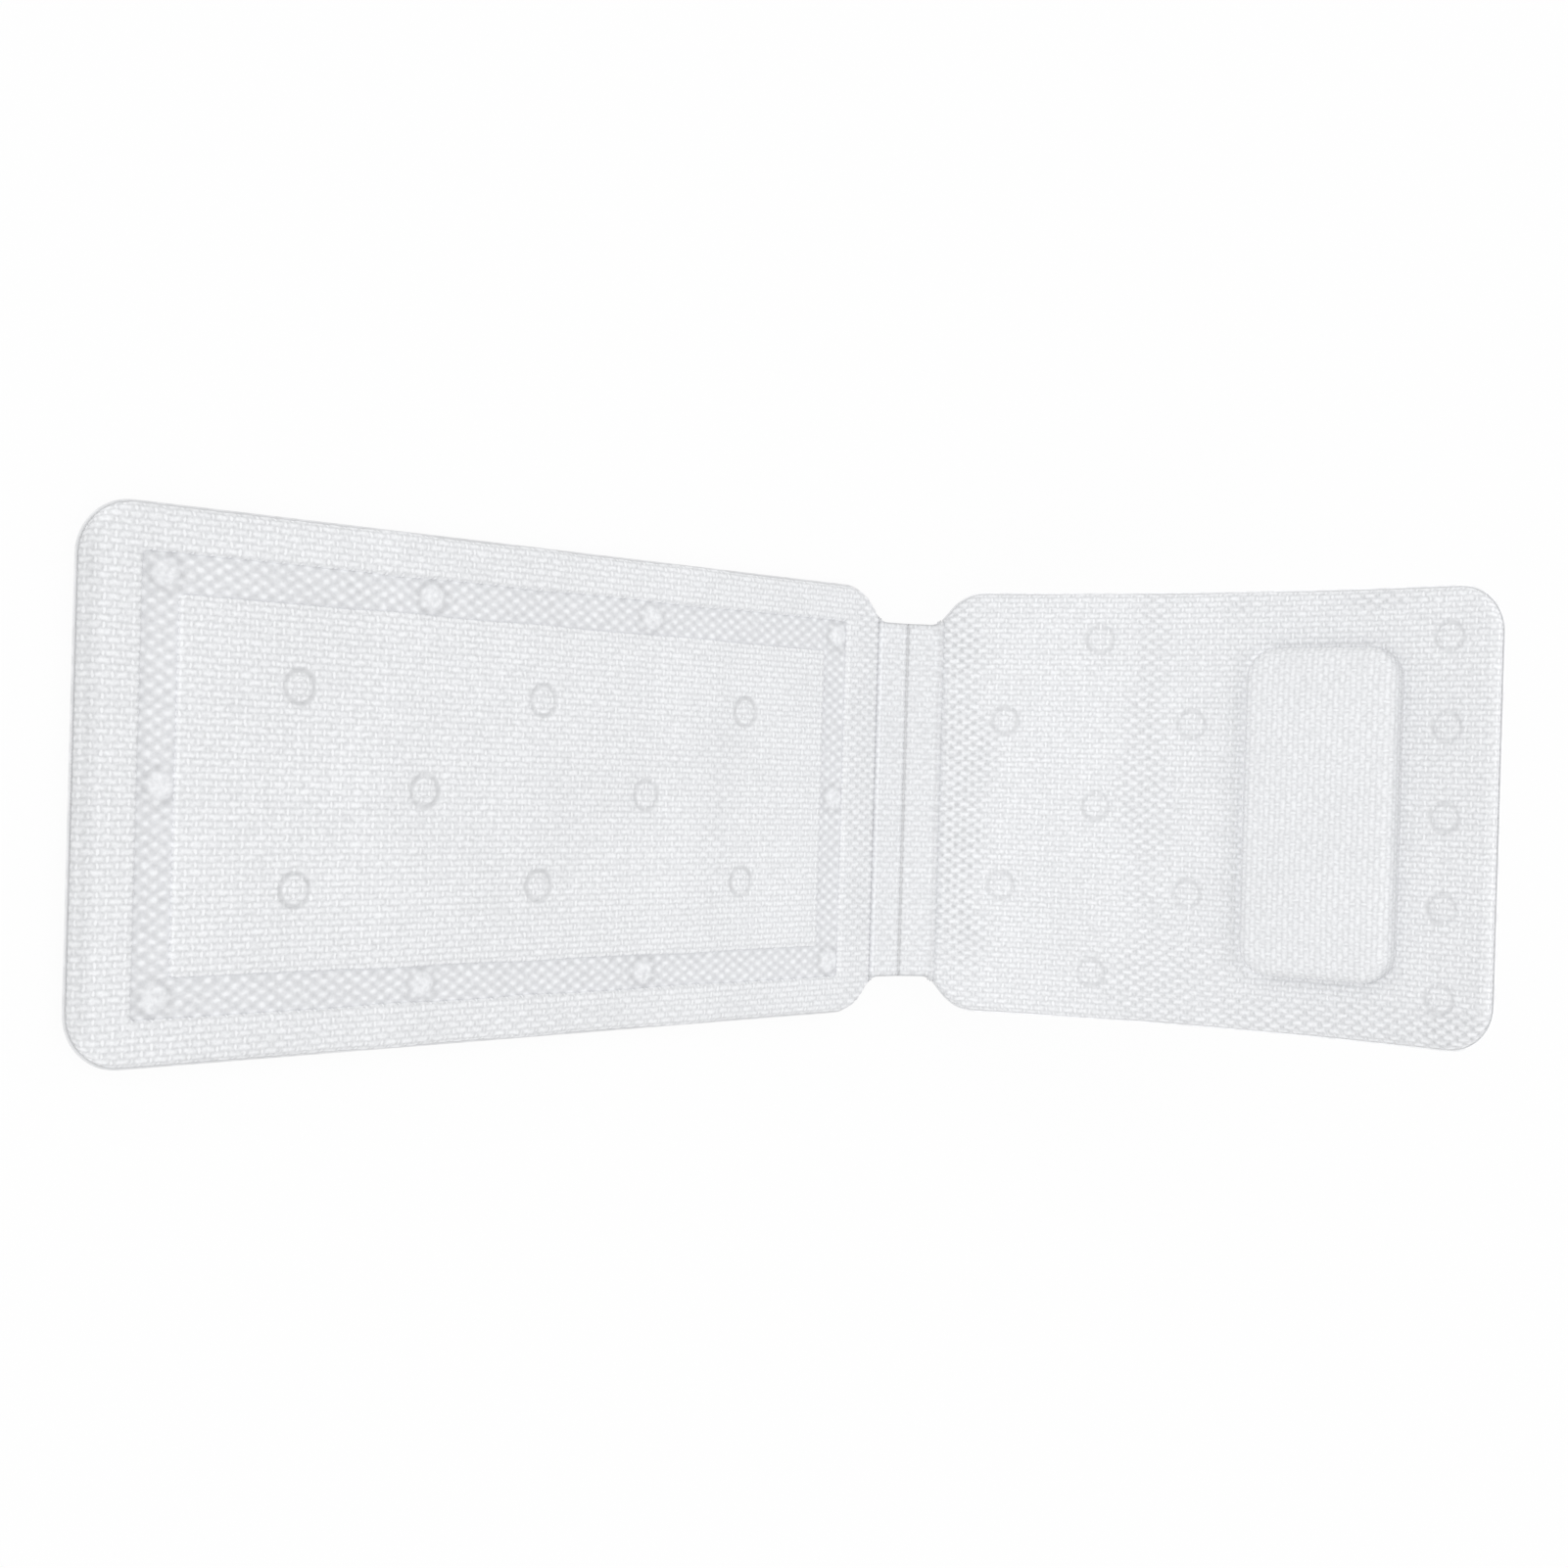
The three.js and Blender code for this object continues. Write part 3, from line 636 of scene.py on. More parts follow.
def waves(u, bumps):
    total = np.zeros(len(u))
    for middle, half, height in bumps:
        t = np.clip((u - middle) / half, -1, 1)
        total += height * 0.5 * (1 + np.cos(np.pi * t))
    return total


def padded_relief(cloth, places, pits, swell, field, bumps):
    """A woven pad with weld rings, swollen between the places where it is held.

    The places with painted shade lie on the seat. Of the back, only the foot of its wall at the fold reaches
    one.
    """
    def relief(u, v, along, across):
        press, ring = pit_share(u, v, pits), ring_gap(u, v, places, RING_RADIUS)
        rise = cloth.height * (weave(along, across, press) - 0.5) - RING_DEPTH * groove(ring, RING_SPREAD)
        # Painted shade in the seat's fold and on its foot end's rounded edge
        turn = 1 - smooth(0, TURN_REACH, np.abs(u - TURN_PLACE))
        foot = 1 - smooth(0, FOOT_REACH, u - FOOT_PLACE)
        shade = (1 - TURN_SHADE * turn) * (1 - FOOT_SHADE * foot)
        return rise + swell * field(u, v) + waves(u, bumps), {"press": press, "ring": ring, "shade": shade}
    return relief


# Swell of the padding, from a cloth simulation of the sheet held at its welds

SIM_STEP = 6.0
SIM_FRAMES = 20
SIM_PRESSURE = 4.0
SIM_QUALITY, SIM_MASS, SIM_STIFFNESS, SIM_BENDING = 6, 0.2, 15.0, 2.0


def swelled(low, high, half, held):
    """Heights from 0 to 1 of a sheet blown up between the points where it is held, as a function of place."""
    us = np.arange(low, high + SIM_STEP, SIM_STEP)
    vs = np.arange(-half, half + SIM_STEP, SIM_STEP)
    u, v, quads = grid(us, vs)
    points = np.stack([u, v, np.zeros(len(u))], axis=1) * MM
    blown = make_mesh("swell_sheet", points, quads, {}, bpy.data.materials.new("swell"))
    pins = blown.vertex_groups.new(name="held")
    pins.add([int(i) for i in np.flatnonzero(held(u, v))], 1.0, "REPLACE")
    cloth = blown.modifiers.new("Cloth", "CLOTH")
    cloth.settings.vertex_group_mass = "held"
    cloth.settings.quality = SIM_QUALITY
    cloth.settings.mass = SIM_MASS
    cloth.settings.tension_stiffness = SIM_STIFFNESS
    cloth.settings.compression_stiffness = SIM_STIFFNESS
    cloth.settings.bending_stiffness = SIM_BENDING
    cloth.settings.use_pressure = True
    cloth.settings.uniform_pressure_force = SIM_PRESSURE
    cloth.settings.effector_weights.gravity = 0
    cloth.point_cache.frame_end = SIM_FRAMES
    for step in range(1, SIM_FRAMES + 1):
        bpy.context.scene.frame_set(step)
    done = blown.evaluated_get(bpy.context.evaluated_depsgraph_get())
    co = np.zeros(len(u) * 3, np.float32)
    done.data.vertices.foreach_get("co", co)
    bpy.context.scene.frame_set(1)
    bpy.data.objects.remove(blown)
    heights = co.reshape(-1, 3)[:, 2].reshape(len(us), len(vs))
    heights = np.clip(heights / max(np.abs(heights).max(), 1e-9), -1, 1)

    def at(x, y):
        fx = np.clip((x - us[0]) / SIM_STEP, 0, len(us) - 1.001)
        fy = np.clip((y - vs[0]) / SIM_STEP, 0, len(vs) - 1.001)
        i, j = fx.astype(int), fy.astype(int)
        a, b = fx - i, fy - j
        near = heights[i, j] * (1 - b) + heights[i, j + 1] * b
        far = heights[i + 1, j] * (1 - b) + heights[i + 1, j + 1] * b
        return near * (1 - a) + far * a

    return at


# Materials

def node_material(name):
    material = bpy.data.materials.new(name)
    material.use_nodes = True
    nodes, links = material.node_tree.nodes, material.node_tree.links
    return material, nodes, links, nodes["Principled BSDF"]


def set_inputs(node, values):
    for name, value in values.items():
        node.inputs[name].default_value = value


class Maths:
    """Adds maths to a material's nodes; each call gives the new node's output."""

    def __init__(self, nodes, links):
        self.nodes, self.links = nodes, links

    def put(self, value, socket):
        if isinstance(value, float):
            socket.default_value = value
        else:
            self.links.new(value, socket)

    def do(self, operation, *values):
        node = self.nodes.new("ShaderNodeMath")
        node.operation = operation
        for value, socket in zip(values, node.inputs):
            self.put(value, socket)
        return node.outputs["Value"]

    def add(self, a, b):
        return self.do("ADD", a, b)

    def less(self, a, b):
        return self.do("SUBTRACT", a, b)

    def times(self, a, b):
        return self.do("MULTIPLY", a, b)

    def mark(self, name):
        node = self.nodes.new("ShaderNodeAttribute")
        node.attribute_name = name
        return node.outputs["Fac"]

    def ramp(self, value, low, high, start=0.0, end=1.0):
        """From start to end, smoothly, as the value goes from low to high."""
        node = self.nodes.new("ShaderNodeMapRange")
        node.interpolation_type = "SMOOTHSTEP"
        names = ("Value", "From Min", "From Max", "To Min", "To Max")
        for name, number in zip(names, (value, low, high, start, end)):
            self.put(number, node.inputs[name])
        return node.outputs["Result"]

    def mix(self, share, a, b):
        return self.add(a, self.times(share, self.less(b, a)))

    def luck(self, i, j, seed):
        """A steady value from 0 to 1 for each bar or float."""
        cell = self.nodes.new("ShaderNodeCombineXYZ")
        for value, socket in zip((i, j, seed), cell.inputs):
            self.put(value, socket)
        noise = self.nodes.new("ShaderNodeTexWhiteNoise")
        self.links.new(cell.outputs["Vector"], noise.inputs["Vector"])
        return noise.outputs["Value"]

    def noise(self, scale, detail=2.0):
        where = self.nodes.new("ShaderNodeTexCoord")
        node = self.nodes.new("ShaderNodeTexNoise")
        set_inputs(node, {"Scale": scale, "Detail": detail})
        self.links.new(where.outputs["Object"], node.inputs["Vector"])
        return node.outputs["Fac"]

    def wobble(self, scale, size, detail=2.0):
        """Noise about 0, of this size from its lowest to its highest."""
        return self.times(self.less(self.noise(scale, detail), 0.5), size)

    def bump(self, height, strength, distance):
        node = self.nodes.new("ShaderNodeBump")
        set_inputs(node, {"Strength": strength, "Distance": distance})
        self.links.new(height, node.inputs["Height"])
        return node.outputs["Normal"]


def thread_places(m):
    """Distances to the nearest bar and to the row's middle, from 0 to 1, and luck for the float and the bar.

    A little noise bends the threads.
    """
    along = m.add(m.mark("along"), m.wobble(170.0, 0.2))
    across = m.add(m.mark("across"), m.wobble(190.0, 0.8))
    row = m.do("FLOOR", across)
    odd = m.do("MODULO", m.do("ABSOLUTE", row), 2.0)
    place = m.less(along, m.times(odd, 0.5))
    bar = m.do("ROUND", place)
    gap = m.times(m.do("ABSOLUTE", m.less(place, bar)), 2.0)
    aside = m.times(m.do("ABSOLUTE", m.less(m.do("FRACT", across), 0.5)), 2.0)
    return gap, aside, m.luck(m.do("FLOOR", place), row, 1.0), m.luck(bar, row, 2.0)


def reach(m, a, b):
    return m.do("SQRT", m.add(m.times(a, a), m.times(b, b)))


GROUND_TONE, FLOAT_TONE, FLOAT_LUCK = 0.44, 0.33, 0.14
BAR_TONE, BAR_LUCK = 0.45, 0.65
PIT_SHADE, RING_TONE = 0.26, 0.2
SPECKLE = 1.0


def woven_tone(ring_share=0.0, bar_tone=BAR_TONE, speckle=SPECKLE):
    """Pale rounded floats on a greyer ground, with bright bars between their ends.

    The weld rings are smoother and darker, but not evenly so.
    """
    def tone_of(m):
        gap, aside, float_luck, bar_luck = thread_places(m)
        press = m.mark("press")
        full = m.add(m.times(float_luck, FLOAT_LUCK), FLOAT_TONE)
        floats = m.times(m.times(m.ramp(gap, 0.15, 0.6), m.ramp(aside, 0.2, 1.0, 1.0, 0.15)), full)
        bars = m.ramp(reach(m, m.times(gap, 4.6), m.times(aside, 0.8)), 0.2, 1.0, 1.0, 0.0)
        bars = m.times(m.times(bars, m.add(m.times(bar_luck, BAR_LUCK), bar_tone)), m.less(1.0, press))
        # Painted shade in the pits, where the bars lie deep
        pit = m.ramp(reach(m, m.times(gap, 1.7), aside), 0.25, 0.95, PIT_SHADE, 0.0)
        tone = m.less(m.add(m.add(floats, bars), GROUND_TONE), m.times(pit, press))
        tone = m.add(tone, m.wobble(430.0, speckle, 3.0))
        ring = m.ramp(m.do("ABSOLUTE", m.mark("ring")), 0.9, 3.0, ring_share, 0.0)
        worn = m.ramp(m.noise(85.0), 0.36, 0.64, 0.6, 1.1)
        return m.mix(m.times(ring, worn), tone, RING_TONE)
    return tone_of


def dotted_tone(m):
    """The weave pressed flat: the middle of each float is bright and its ends dark. Discs are mottled."""
    gap, aside, float_luck, _ = thread_places(m)
    middle = reach(m, m.times(m.less(1.0, gap), 1.9), aside)
    dot = m.times(m.ramp(middle, 0.0, 1.25, 1.0, 0.0), m.add(m.times(float_luck, 0.25), 0.5))
    pit = m.ramp(reach(m, m.times(gap, 1.9), aside), 0.0, 1.1, 0.22, 0.0)
    ground = m.add(m.wobble(300.0, 0.8), 0.38)
    disc = m.add(m.wobble(260.0, 1.6), 0.68)
    return m.mix(m.mark("press"), m.less(m.add(dot, ground), pit), disc)


def sheet_tone(m):
    """A fine knitted backing: small stitches in staggered rows, with faint streaks."""
    along = m.times(m.mark("along"), 8 * math.pi)
    across = m.times(m.mark("across"), 4 * math.pi)
    stitch = m.times(m.do("COSINE", m.add(along, across)), m.do("COSINE", m.less(along, across)))
    return m.add(m.add(m.times(stitch, 0.35), m.wobble(60.0, 0.5, 4.0)), 0.55)


def cloth_material(name, tone_of, dark, light, roughness=0.6):
    """Colour from the weave's tone and each point's shade, slightly cloudy, with a fine foamed grain."""
    material, nodes, links, shader = node_material(name)
    m = Maths(nodes, links)
    ramp = nodes.new("ShaderNodeValToRGB")
    ramp.color_ramp.elements[0].color = (*dark, 1)
    ramp.color_ramp.elements[1].color = (*light, 1)
    links.new(tone_of(m), ramp.inputs["Fac"])
    level = m.times(m.mark("shade"), m.ramp(m.noise(9.0), 0.2, 0.8, 0.985, 1.015))
    mixed = nodes.new("ShaderNodeMix")
    mixed.data_type = "RGBA"
    mixed.blend_type = "MULTIPLY"
    mixed.inputs["Factor"].default_value = 1.0
    links.new(ramp.outputs["Color"], mixed.inputs["A"])
    links.new(level, mixed.inputs["B"])
    links.new(mixed.outputs["Result"], shader.inputs["Base Color"])
    set_inputs(shader, {"Roughness": roughness, "Specular IOR Level": 0.35})
    links.new(m.bump(m.noise(900.0, 3.0), 0.25, 0.0004), shader.inputs["Normal"])
    return material


def mixed_by_rays(m, share, lit, seen):
    """The lit shader, mixed with the seen one for rays of the camera, reflections and glass."""
    rays = m.nodes.new("ShaderNodeLightPath")
    mirrored = m.do("MAXIMUM", rays.outputs["Is Glossy Ray"], rays.outputs["Is Transmission Ray"])
    shows = m.do("MAXIMUM", rays.outputs["Is Camera Ray"], mirrored)
    mixed = m.nodes.new("ShaderNodeMixShader")
    for value, socket in zip((m.times(shows, share), lit, seen), mixed.inputs):
        m.put(value, socket)
    return mixed.outputs["Shader"]


FLOOR_HALF, FLOOR_WHITE = 8.0, 0.94


def floor_material():
    """White to the camera, with the object's shadow kept faintly."""
    material, nodes, links, shader = node_material("floor")
    set_inputs(shader, {"Base Color": (0.9, 0.9, 0.9, 1), "Roughness": 0.9, "Specular IOR Level": 0.0})
    glow = nodes.new("ShaderNodeEmission").outputs["Emission"]
    mixed = mixed_by_rays(Maths(nodes, links), FLOOR_WHITE, shader.outputs["BSDF"], glow)
    links.new(mixed, nodes["Material Output"].inputs["Surface"])
    return material


SEAT_RING, BACK_RING = 0.85, 0.55
COVER = cloth_material("cover_weave", woven_tone(SEAT_RING), (0.61, 0.617, 0.63), (0.957, 0.966, 0.983))
# The back's weave is a darker copy of the seat's: painted shade that evens out the light falling more on the
# back
BACK_COVER = cloth_material("back_weave", woven_tone(BACK_RING), (0.57, 0.577, 0.59), (0.913, 0.921, 0.938))
CHANNEL = cloth_material("channel_weave", dotted_tone, (0.655, 0.662, 0.68), (0.95, 0.96, 0.98), 0.55)
PILLOW = cloth_material("pillow_weave", woven_tone(bar_tone=0.25, speckle=1.15),
                        (0.613, 0.62, 0.633), (0.88, 0.889, 0.906))
NECK = cloth_material("neck_weave", woven_tone(bar_tone=0.1),
                      (0.583, 0.59, 0.603), (0.883, 0.892, 0.91), 0.58)
UNDER = cloth_material("base_sheet", sheet_tone, (0.6, 0.604, 0.612), (0.84, 0.845, 0.855), 0.5)


# Seat

SEAT_CUPS = seat_cup_places()
PAD_RINGS = [(x, y) for x, y, in_channel in SEAT_CUPS if not in_channel]
CHANNEL_CUPS = [(x, y) for x, y, in_channel in SEAT_CUPS if in_channel]
SEAT_SPANS = (-SEAT_LENGTH, 0.0, MAT_WIDTH / 2)
SEAT_OUTLINE = polygon(seat_points(FLANGE))
PANEL_EDGE = rolled_edge(EDGE_RUN, TOP, -COVER_FOOT)


def seat_held(u, v):
    border = SEAT_OUTLINE(u, v)[0] < HELD_EDGE
    outer = channel_outline(CHANNEL_WIDTH / 2 + HELD_LAP)(u, v)[0]
    inner = channel_outline(-CHANNEL_WIDTH / 2 - HELD_LAP)(u, v)[0]
    rings = nearest(u, v, PAD_RINGS) < RING_RADIUS + HELD_RING
    return border | ((outer > 0) & (inner < 0)) | rings


def channel_relief(u, v, along, across):
    """The weave pressed flat: only the middle of each float stands out, and a disc over each cup."""
    row, over = rows_over(across)
    dot = smooth(DOT_FROM, DOT_TO, bar_gap(along, row)[0]) * over
    disc = 1 - smooth(DISC_RADIUS - DISC_SOFT, DISC_RADIUS + DISC_SOFT, nearest(u, v, CHANNEL_CUPS))
    halo = groove(ring_gap(u, v, CHANNEL_CUPS, HALO_RADIUS), HALO_SPREAD)
    fine = weave(along * DISC_FINE_ALONG, across * DISC_FINE_ACROSS)
    rise = DOT_RISE * dot * (1 - disc) + disc * (DISC_RISE + DISC_WEAVE * fine) - HALO_DEPTH * halo
    return rise, {"press": disc, "shade": 1 - HALO_SHADE * halo}


def build_seat():
    field = swelled(*SEAT_SPANS, seat_held)
    relief = padded_relief(SEAT_CLOTH, PAD_RINGS, SEAT_PITS, SEAT_SWELL, field, SEAT_WAVES)
    wall = rolled_edge(WALL_RUN, CHANNEL_DEPTH, TOP - CHANNEL_DEPTH - COVER_FOOT)
    half = CHANNEL_WIDTH / 2
    edges = [(SEAT_OUTLINE, PANEL_EDGE), (outside_of(channel_outline(half)), wall)]
    border = pad("seat_border", on_seat, COVER, SEAT_CLOTH, SEAT_SPANS, edges, relief)
    edges = [(channel_outline(-half), wall)]
    centre = pad("seat_centre", on_seat, COVER, SEAT_CLOTH, SEAT_SPANS, edges, relief, rings=PAD_RINGS)
    skin = thin_edge(CHANNEL_SKIN)
    half = half + CHANNEL_LAP
    edges = [(channel_outline(half), skin), (outside_of(channel_outline(-half)), skin)]
    channel = pad("seat_channel", on_seat, CHANNEL, SEAT_CLOTH, SEAT_SPANS, edges, channel_relief,
                  base=TOP - CHANNEL_DEPTH)
    for piece, fill in ((border, 0.5), (centre, 0.6), (channel, 0.05)):
        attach(piece, "seat")
    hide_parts("seat_cover", "seat_border_foam")
    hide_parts("seat_centre_foam")


build_seat()


# Back and pillow

BACK_RINGS = back_cup_places()
BACK_SPANS = (0.0, BACK_LENGTH, MAT_WIDTH / 2)
BACK_OUTLINE = polygon(back_points(FLANGE))
PILLOW_SPANS = (PILLOW_CENTRE - PILLOW_LENGTH / 2, PILLOW_CENTRE + PILLOW_LENGTH / 2, PILLOW_WIDTH / 2)


def back_held(u, v):
    edge = BACK_OUTLINE(u, v)[0] < HELD_EDGE
    rings = nearest(u, v, BACK_RINGS) < RING_RADIUS + HELD_RING
    return edge | (pillow_outline(0)(u, v)[0] > 0) | rings


def lit_back(relief):
    """A relief with painted light beside the pillow's foot side and along the panel's edge."""
    def shaded(u, v, along, across):
        rise, marks = relief(u, v, along, across)
        near = 1 - smooth(0, PILLOW_NEAR, -pillow_outline(0)(u, v)[0])
        foot = 1 - smooth(PILLOW_CENTRE - GLOW_TO, PILLOW_CENTRE - GLOW_FROM, u)
        edge = (1 - smooth(0, EDGE_NEAR, BACK_OUTLINE(u, v)[0])) * smooth(EDGE_FROM, EDGE_TO, u)
        # Painted light: the shade mark is raised beside the pillow and along the edge
        marks["shade"] = marks["shade"] * (1 + PILLOW_GLOW * near * foot) * (1 + EDGE_GLOW * edge)
        return rise, marks
    return shaded


def build_back():
    field = swelled(*BACK_SPANS, back_held)
    relief = lit_back(padded_relief(BACK_CLOTH, BACK_RINGS, BACK_PITS, BACK_SWELL, field, BACK_WAVES))
    under_pillow = (outside_of(pillow_outline(PILLOW_LAP)), thin_edge(TOP - COVER_FOOT))
    edges = [(BACK_OUTLINE, PANEL_EDGE), under_pillow]
    back = pad("back_pad", on_back, BACK_COVER, BACK_CLOTH, BACK_SPANS, edges, relief, rings=BACK_RINGS)
    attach(back, "back")
    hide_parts("back_cover", "back_foam")


build_back()


def pillow_held(u, v):
    return pillow_outline(PILLOW_EDGE)(u, v)[0] < 0


def build_pillow():
    field = swelled(*PILLOW_SPANS, pillow_held)

    def relief(u, v, along, across):
        rise = PILLOW_CLOTH.height * (weave(along, across) - 0.5) + PILLOW_CROWN * field(u, v)
        inside = pillow_outline(0)(u, v)[0]
        # Painted shade: darker low on the wall all round, and on the wall of the head side
        crease = 1 - smooth(CREASE_LOW, CREASE_HIGH, inside)
        head = smooth(PILLOW_CENTRE + HEAD_FROM, PILLOW_CENTRE + HEAD_TO, u)
        head_wall = (1 - smooth(HEAD_WALL_LOW, HEAD_WALL_HIGH, inside)) * head
        return rise, {"shade": 1 - CREASE_SHADE * crease - HEAD_WALL_SHADE * head_wall}

    edge = rolled_edge(PILLOW_EDGE, PILLOW_EDGE, PILLOW_HEIGHT - PILLOW_EDGE + PILLOW_SINK)
    edges = [(pillow_outline(0), edge)]
    pillow = pad("head_pillow", on_back, PILLOW, PILLOW_CLOTH, PILLOW_SPANS, edges, relief,
                 base=TOP + PILLOW_HEIGHT)
    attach(pillow, "back")
    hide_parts("pillow_cover", "pillow_foam")


build_pillow()


# Neck: two padded bars, and a thin welded web across each fold line

def neck_relief(middle, lit):
    """A strip's woven top, with painted shade at its ends and along the middle fold. Lit adds painted light,
    most beside the fold where it starts.
    """
    def relief(u, v, along, across):
        end = smooth(NECK_HALF - NECK_END_REACH, NECK_HALF, np.abs(v))
        crease = 1 - smooth(0, MIDDLE_REACH, np.abs(u - middle))
        edge = 1 - smooth(0, LIT_REACH, np.abs(u - LIT_EDGE))
        shade = (1 - NECK_END_SHADE * end) * (1 - MIDDLE_SHADE * crease) * (1 + lit * (LIT_ALL + edge))
        return NECK_CLOTH.height * (weave(along, across) - 0.5), {"shade": shade}
    return relief


def plain_relief(u, v, along, across):
    return np.zeros(len(u)), {}


def build_neck_bar(name, node, body, place, wide_at, lit):
    spans = (0.0, STRIP_LENGTH, NECK_HALF + NECK_FLARE)
    middle = STRIP_LENGTH - wide_at
    folds = fold_lines(FOLD_CLEARANCE, STRIP_LENGTH - FOLD_CLEARANCE)
    edges = [(strip_ends(wide_at), rolled_edge(NECK_RUN, NECK_THICKNESS / 2)),
             (folds, slanted_edge(NECK_THICKNESS / 2, NECK_EDGE))]
    top = sheet(NECK_CLOTH, spans, edges, neck_relief(middle, lit), base=NECK_THICKNESS / 2)
    bottom = sheet(NECK_CLOTH, spans, edges, plain_relief, base=-NECK_THICKNESS / 2, facing=-1.0)
    points, quads, marks, triangles = joined([top, bottom])
    bar = make_mesh(name, place(points), quads, marks, NECK, triangles)
    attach(bar, body)
    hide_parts(node)


def build_web(name, axis, half, start_angle, turn, form):
    """A ribbon through the fold axis, humped in the groove, that turns with the fold from side to side."""
    high, shade = form
    xs = np.linspace(-WEB_REACH, WEB_REACH, WEB_COLUMNS)
    ys = np.linspace(WEB_INSET - half, half - WEB_INSET, WEB_ROWS)
    level = 1 - WEB_END_DROP * smooth(half - WEB_END_REACH, half, np.abs(ys))
    hump = high * (1 - WEB_HUMP * (xs / WEB_REACH) ** 2)
    section = list(zip(xs, hump)) + [(x, WEB_LOW) for x in xs[::-1]]
    rings = []
    for x, z in section:
        lean = start_angle + turn * float(smooth(-WEB_REACH, WEB_REACH, np.array(x)))
        flat = np.stack([np.full(len(ys), x), ys, z * level], axis=1)
        rings.append(turned(flat, lean))
    points = np.concatenate(rings) * MM + AXES[axis]
    count = len(section)
    index = np.arange(len(points)).reshape(count, len(ys))
    after = np.roll(index, -1, axis=0)
    sides = np.stack([index[:, :-1], after[:, :-1], after[:, 1:], index[:, 1:]], axis=2).reshape(-1, 4)
    left, right = index[:count // 2], index[count // 2:][::-1]
    caps = [np.stack([left[:-1, k], right[:-1, k], right[1:, k], left[1:, k]], axis=1)[:, ::order]
            for k, order in ((0, 1), (-1, -1))]
    caps = np.concatenate(caps)[:, [[0, 1, 2], [0, 2, 3]]].reshape(-1, 3)
    along, across = NECK_CLOTH.threads(np.repeat([x for x, _ in section], len(ys)), np.tile(ys, count))
    # Painted shade: the web darkens the groove of its fold
    marks = all_marks(along, across, shade=np.full(len(points), shade))
    web = make_mesh(name, points, sides, marks, NECK, caps)
    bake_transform(web)


def build_neck():
    seat, first, last, back = "seat", "seat_side_strip", "back_side_strip", "back"
    build_neck_bar("neck_bar_seat", "neck_strip_seat", first, on_seat_strip, 0.0, SEAT_STRIP_LIT)
    build_neck_bar("neck_bar_back", "neck_strip_back", last, on_back_strip, STRIP_LENGTH, 0.0)
    wide = NECK_HALF + NECK_FLARE
    build_web("fold_web_seat", "seat_fold", wide, 0.0, SEAT_FOLD, SEAT_WEB)
    build_web("fold_web_middle", "middle_fold", NECK_HALF, SEAT_FOLD, MIDDLE_FOLD, MIDDLE_WEB)
    build_web("fold_web_back", "back_fold", wide, SEAT_FOLD + MIDDLE_FOLD, BACK_FOLD, BACK_WEB)


build_neck()


# Underside: base sheets with their welded rims, and the suction cups

def under_relief(places):
    def relief(u, v, along, across):
        ring = groove(ring_gap(u, v, places, UNDER_RING), RING_SPREAD)
        rise = UNDER_CLOTH.height * (weave(along, across) - 0.5) - UNDER_RING_DEPTH * ring
        return rise, {"shade": 1 - UNDER_RING_SHADE * ring}
    return relief


def rim_part(path, inwards, glow):
    """A thin bead along the outline, as wide as the welded rim, with random wear. Glow is painted light that
    lightens it away from the fold.
    """
    half, thick = RIM_WIDTH / 2, SHEET / 2
    rows = []
    for a in np.arange(RIM_SIDES) * 2 * math.pi / RIM_SIDES:
        inset = half + half * np.sign(math.cos(a)) * abs(math.cos(a)) ** RIM_SQUARE
        z = UNDERSIDE + thick + thick * np.sign(math.sin(a)) * abs(math.sin(a)) ** RIM_SQUARE
        rows.append(np.column_stack([path + inwards * inset, np.full(len(path), z)]))
    points = np.stack(rows, axis=1).reshape(-1, 3)
    index = np.arange(len(points)).reshape(len(path), RIM_SIDES)
    ahead, aside = np.roll(index, -1, axis=0), np.roll(index, -1, axis=1)
    quads = np.stack([index, aside, np.roll(ahead, -1, axis=1), ahead], axis=2).reshape(-1, 4)
    wear_and_painted_light = RIM_TONE + RIM_WEAR * scatter(np.arange(len(path)) // RIM_PATCH, np.zeros(len(path)), 5)
    # Painted light: glow raises the rim's shade mark away from the fold
    wear_and_painted_light = wear_and_painted_light * (1 + glow * smooth(EDGE_FROM, EDGE_TO, path[:, 0]))
    still = np.zeros(len(points))
    return points, quads, all_marks(still, still, shade=np.repeat(wear_and_painted_light, RIM_SIDES))


def even_path(points, step):
    """A closed path with points evenly apart, and the direction inwards at each; it runs anticlockwise."""
    loop = np.vstack([points, points[:1]])
    length = np.concatenate([[0.0], np.cumsum(np.hypot(*np.diff(loop, axis=0).T))])
    at = np.linspace(0, length[-1], int(length[-1] / step), endpoint=False)
    path = np.column_stack([np.interp(at, length, loop[:, k]) for k in (0, 1)])
    along = np.roll(path, -1, axis=0) - np.roll(path, 1, axis=0)
    along /= np.hypot(*along.T)[:, None]
    return path, np.column_stack([-along[:, 1], along[:, 0]])


def build_under(name, node, body, place, spans, points_at, places, glow=0.0):
    edges = [(polygon(points_at(RIM_INSET)), thin_edge(SHEET))]
    face = sheet(UNDER_CLOTH, spans, edges, under_relief(places), base=UNDERSIDE, facing=-1.0)
    both = joined([face, rim_part(*even_path(points_at(0), RIM_STEP), glow)])
    points, quads, marks, triangles = closed(both, edges, facing=-1.0)
    under = make_mesh(name, place(points), quads, marks, UNDER, triangles)
    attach(under, body)
    outline = points_at(0)
    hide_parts(node)


def build_undersides():
    seat_places = [(x, y) for x, y, _ in SEAT_CUPS]
    build_under("seat_underside", "seat_base_sheet", "seat", on_seat, SEAT_SPANS, seat_points, seat_places)
    build_under("back_underside", "back_base_sheet", "back", on_back, BACK_SPANS, back_points, BACK_RINGS,
                glow=RIM_GLOW)


build_undersides()


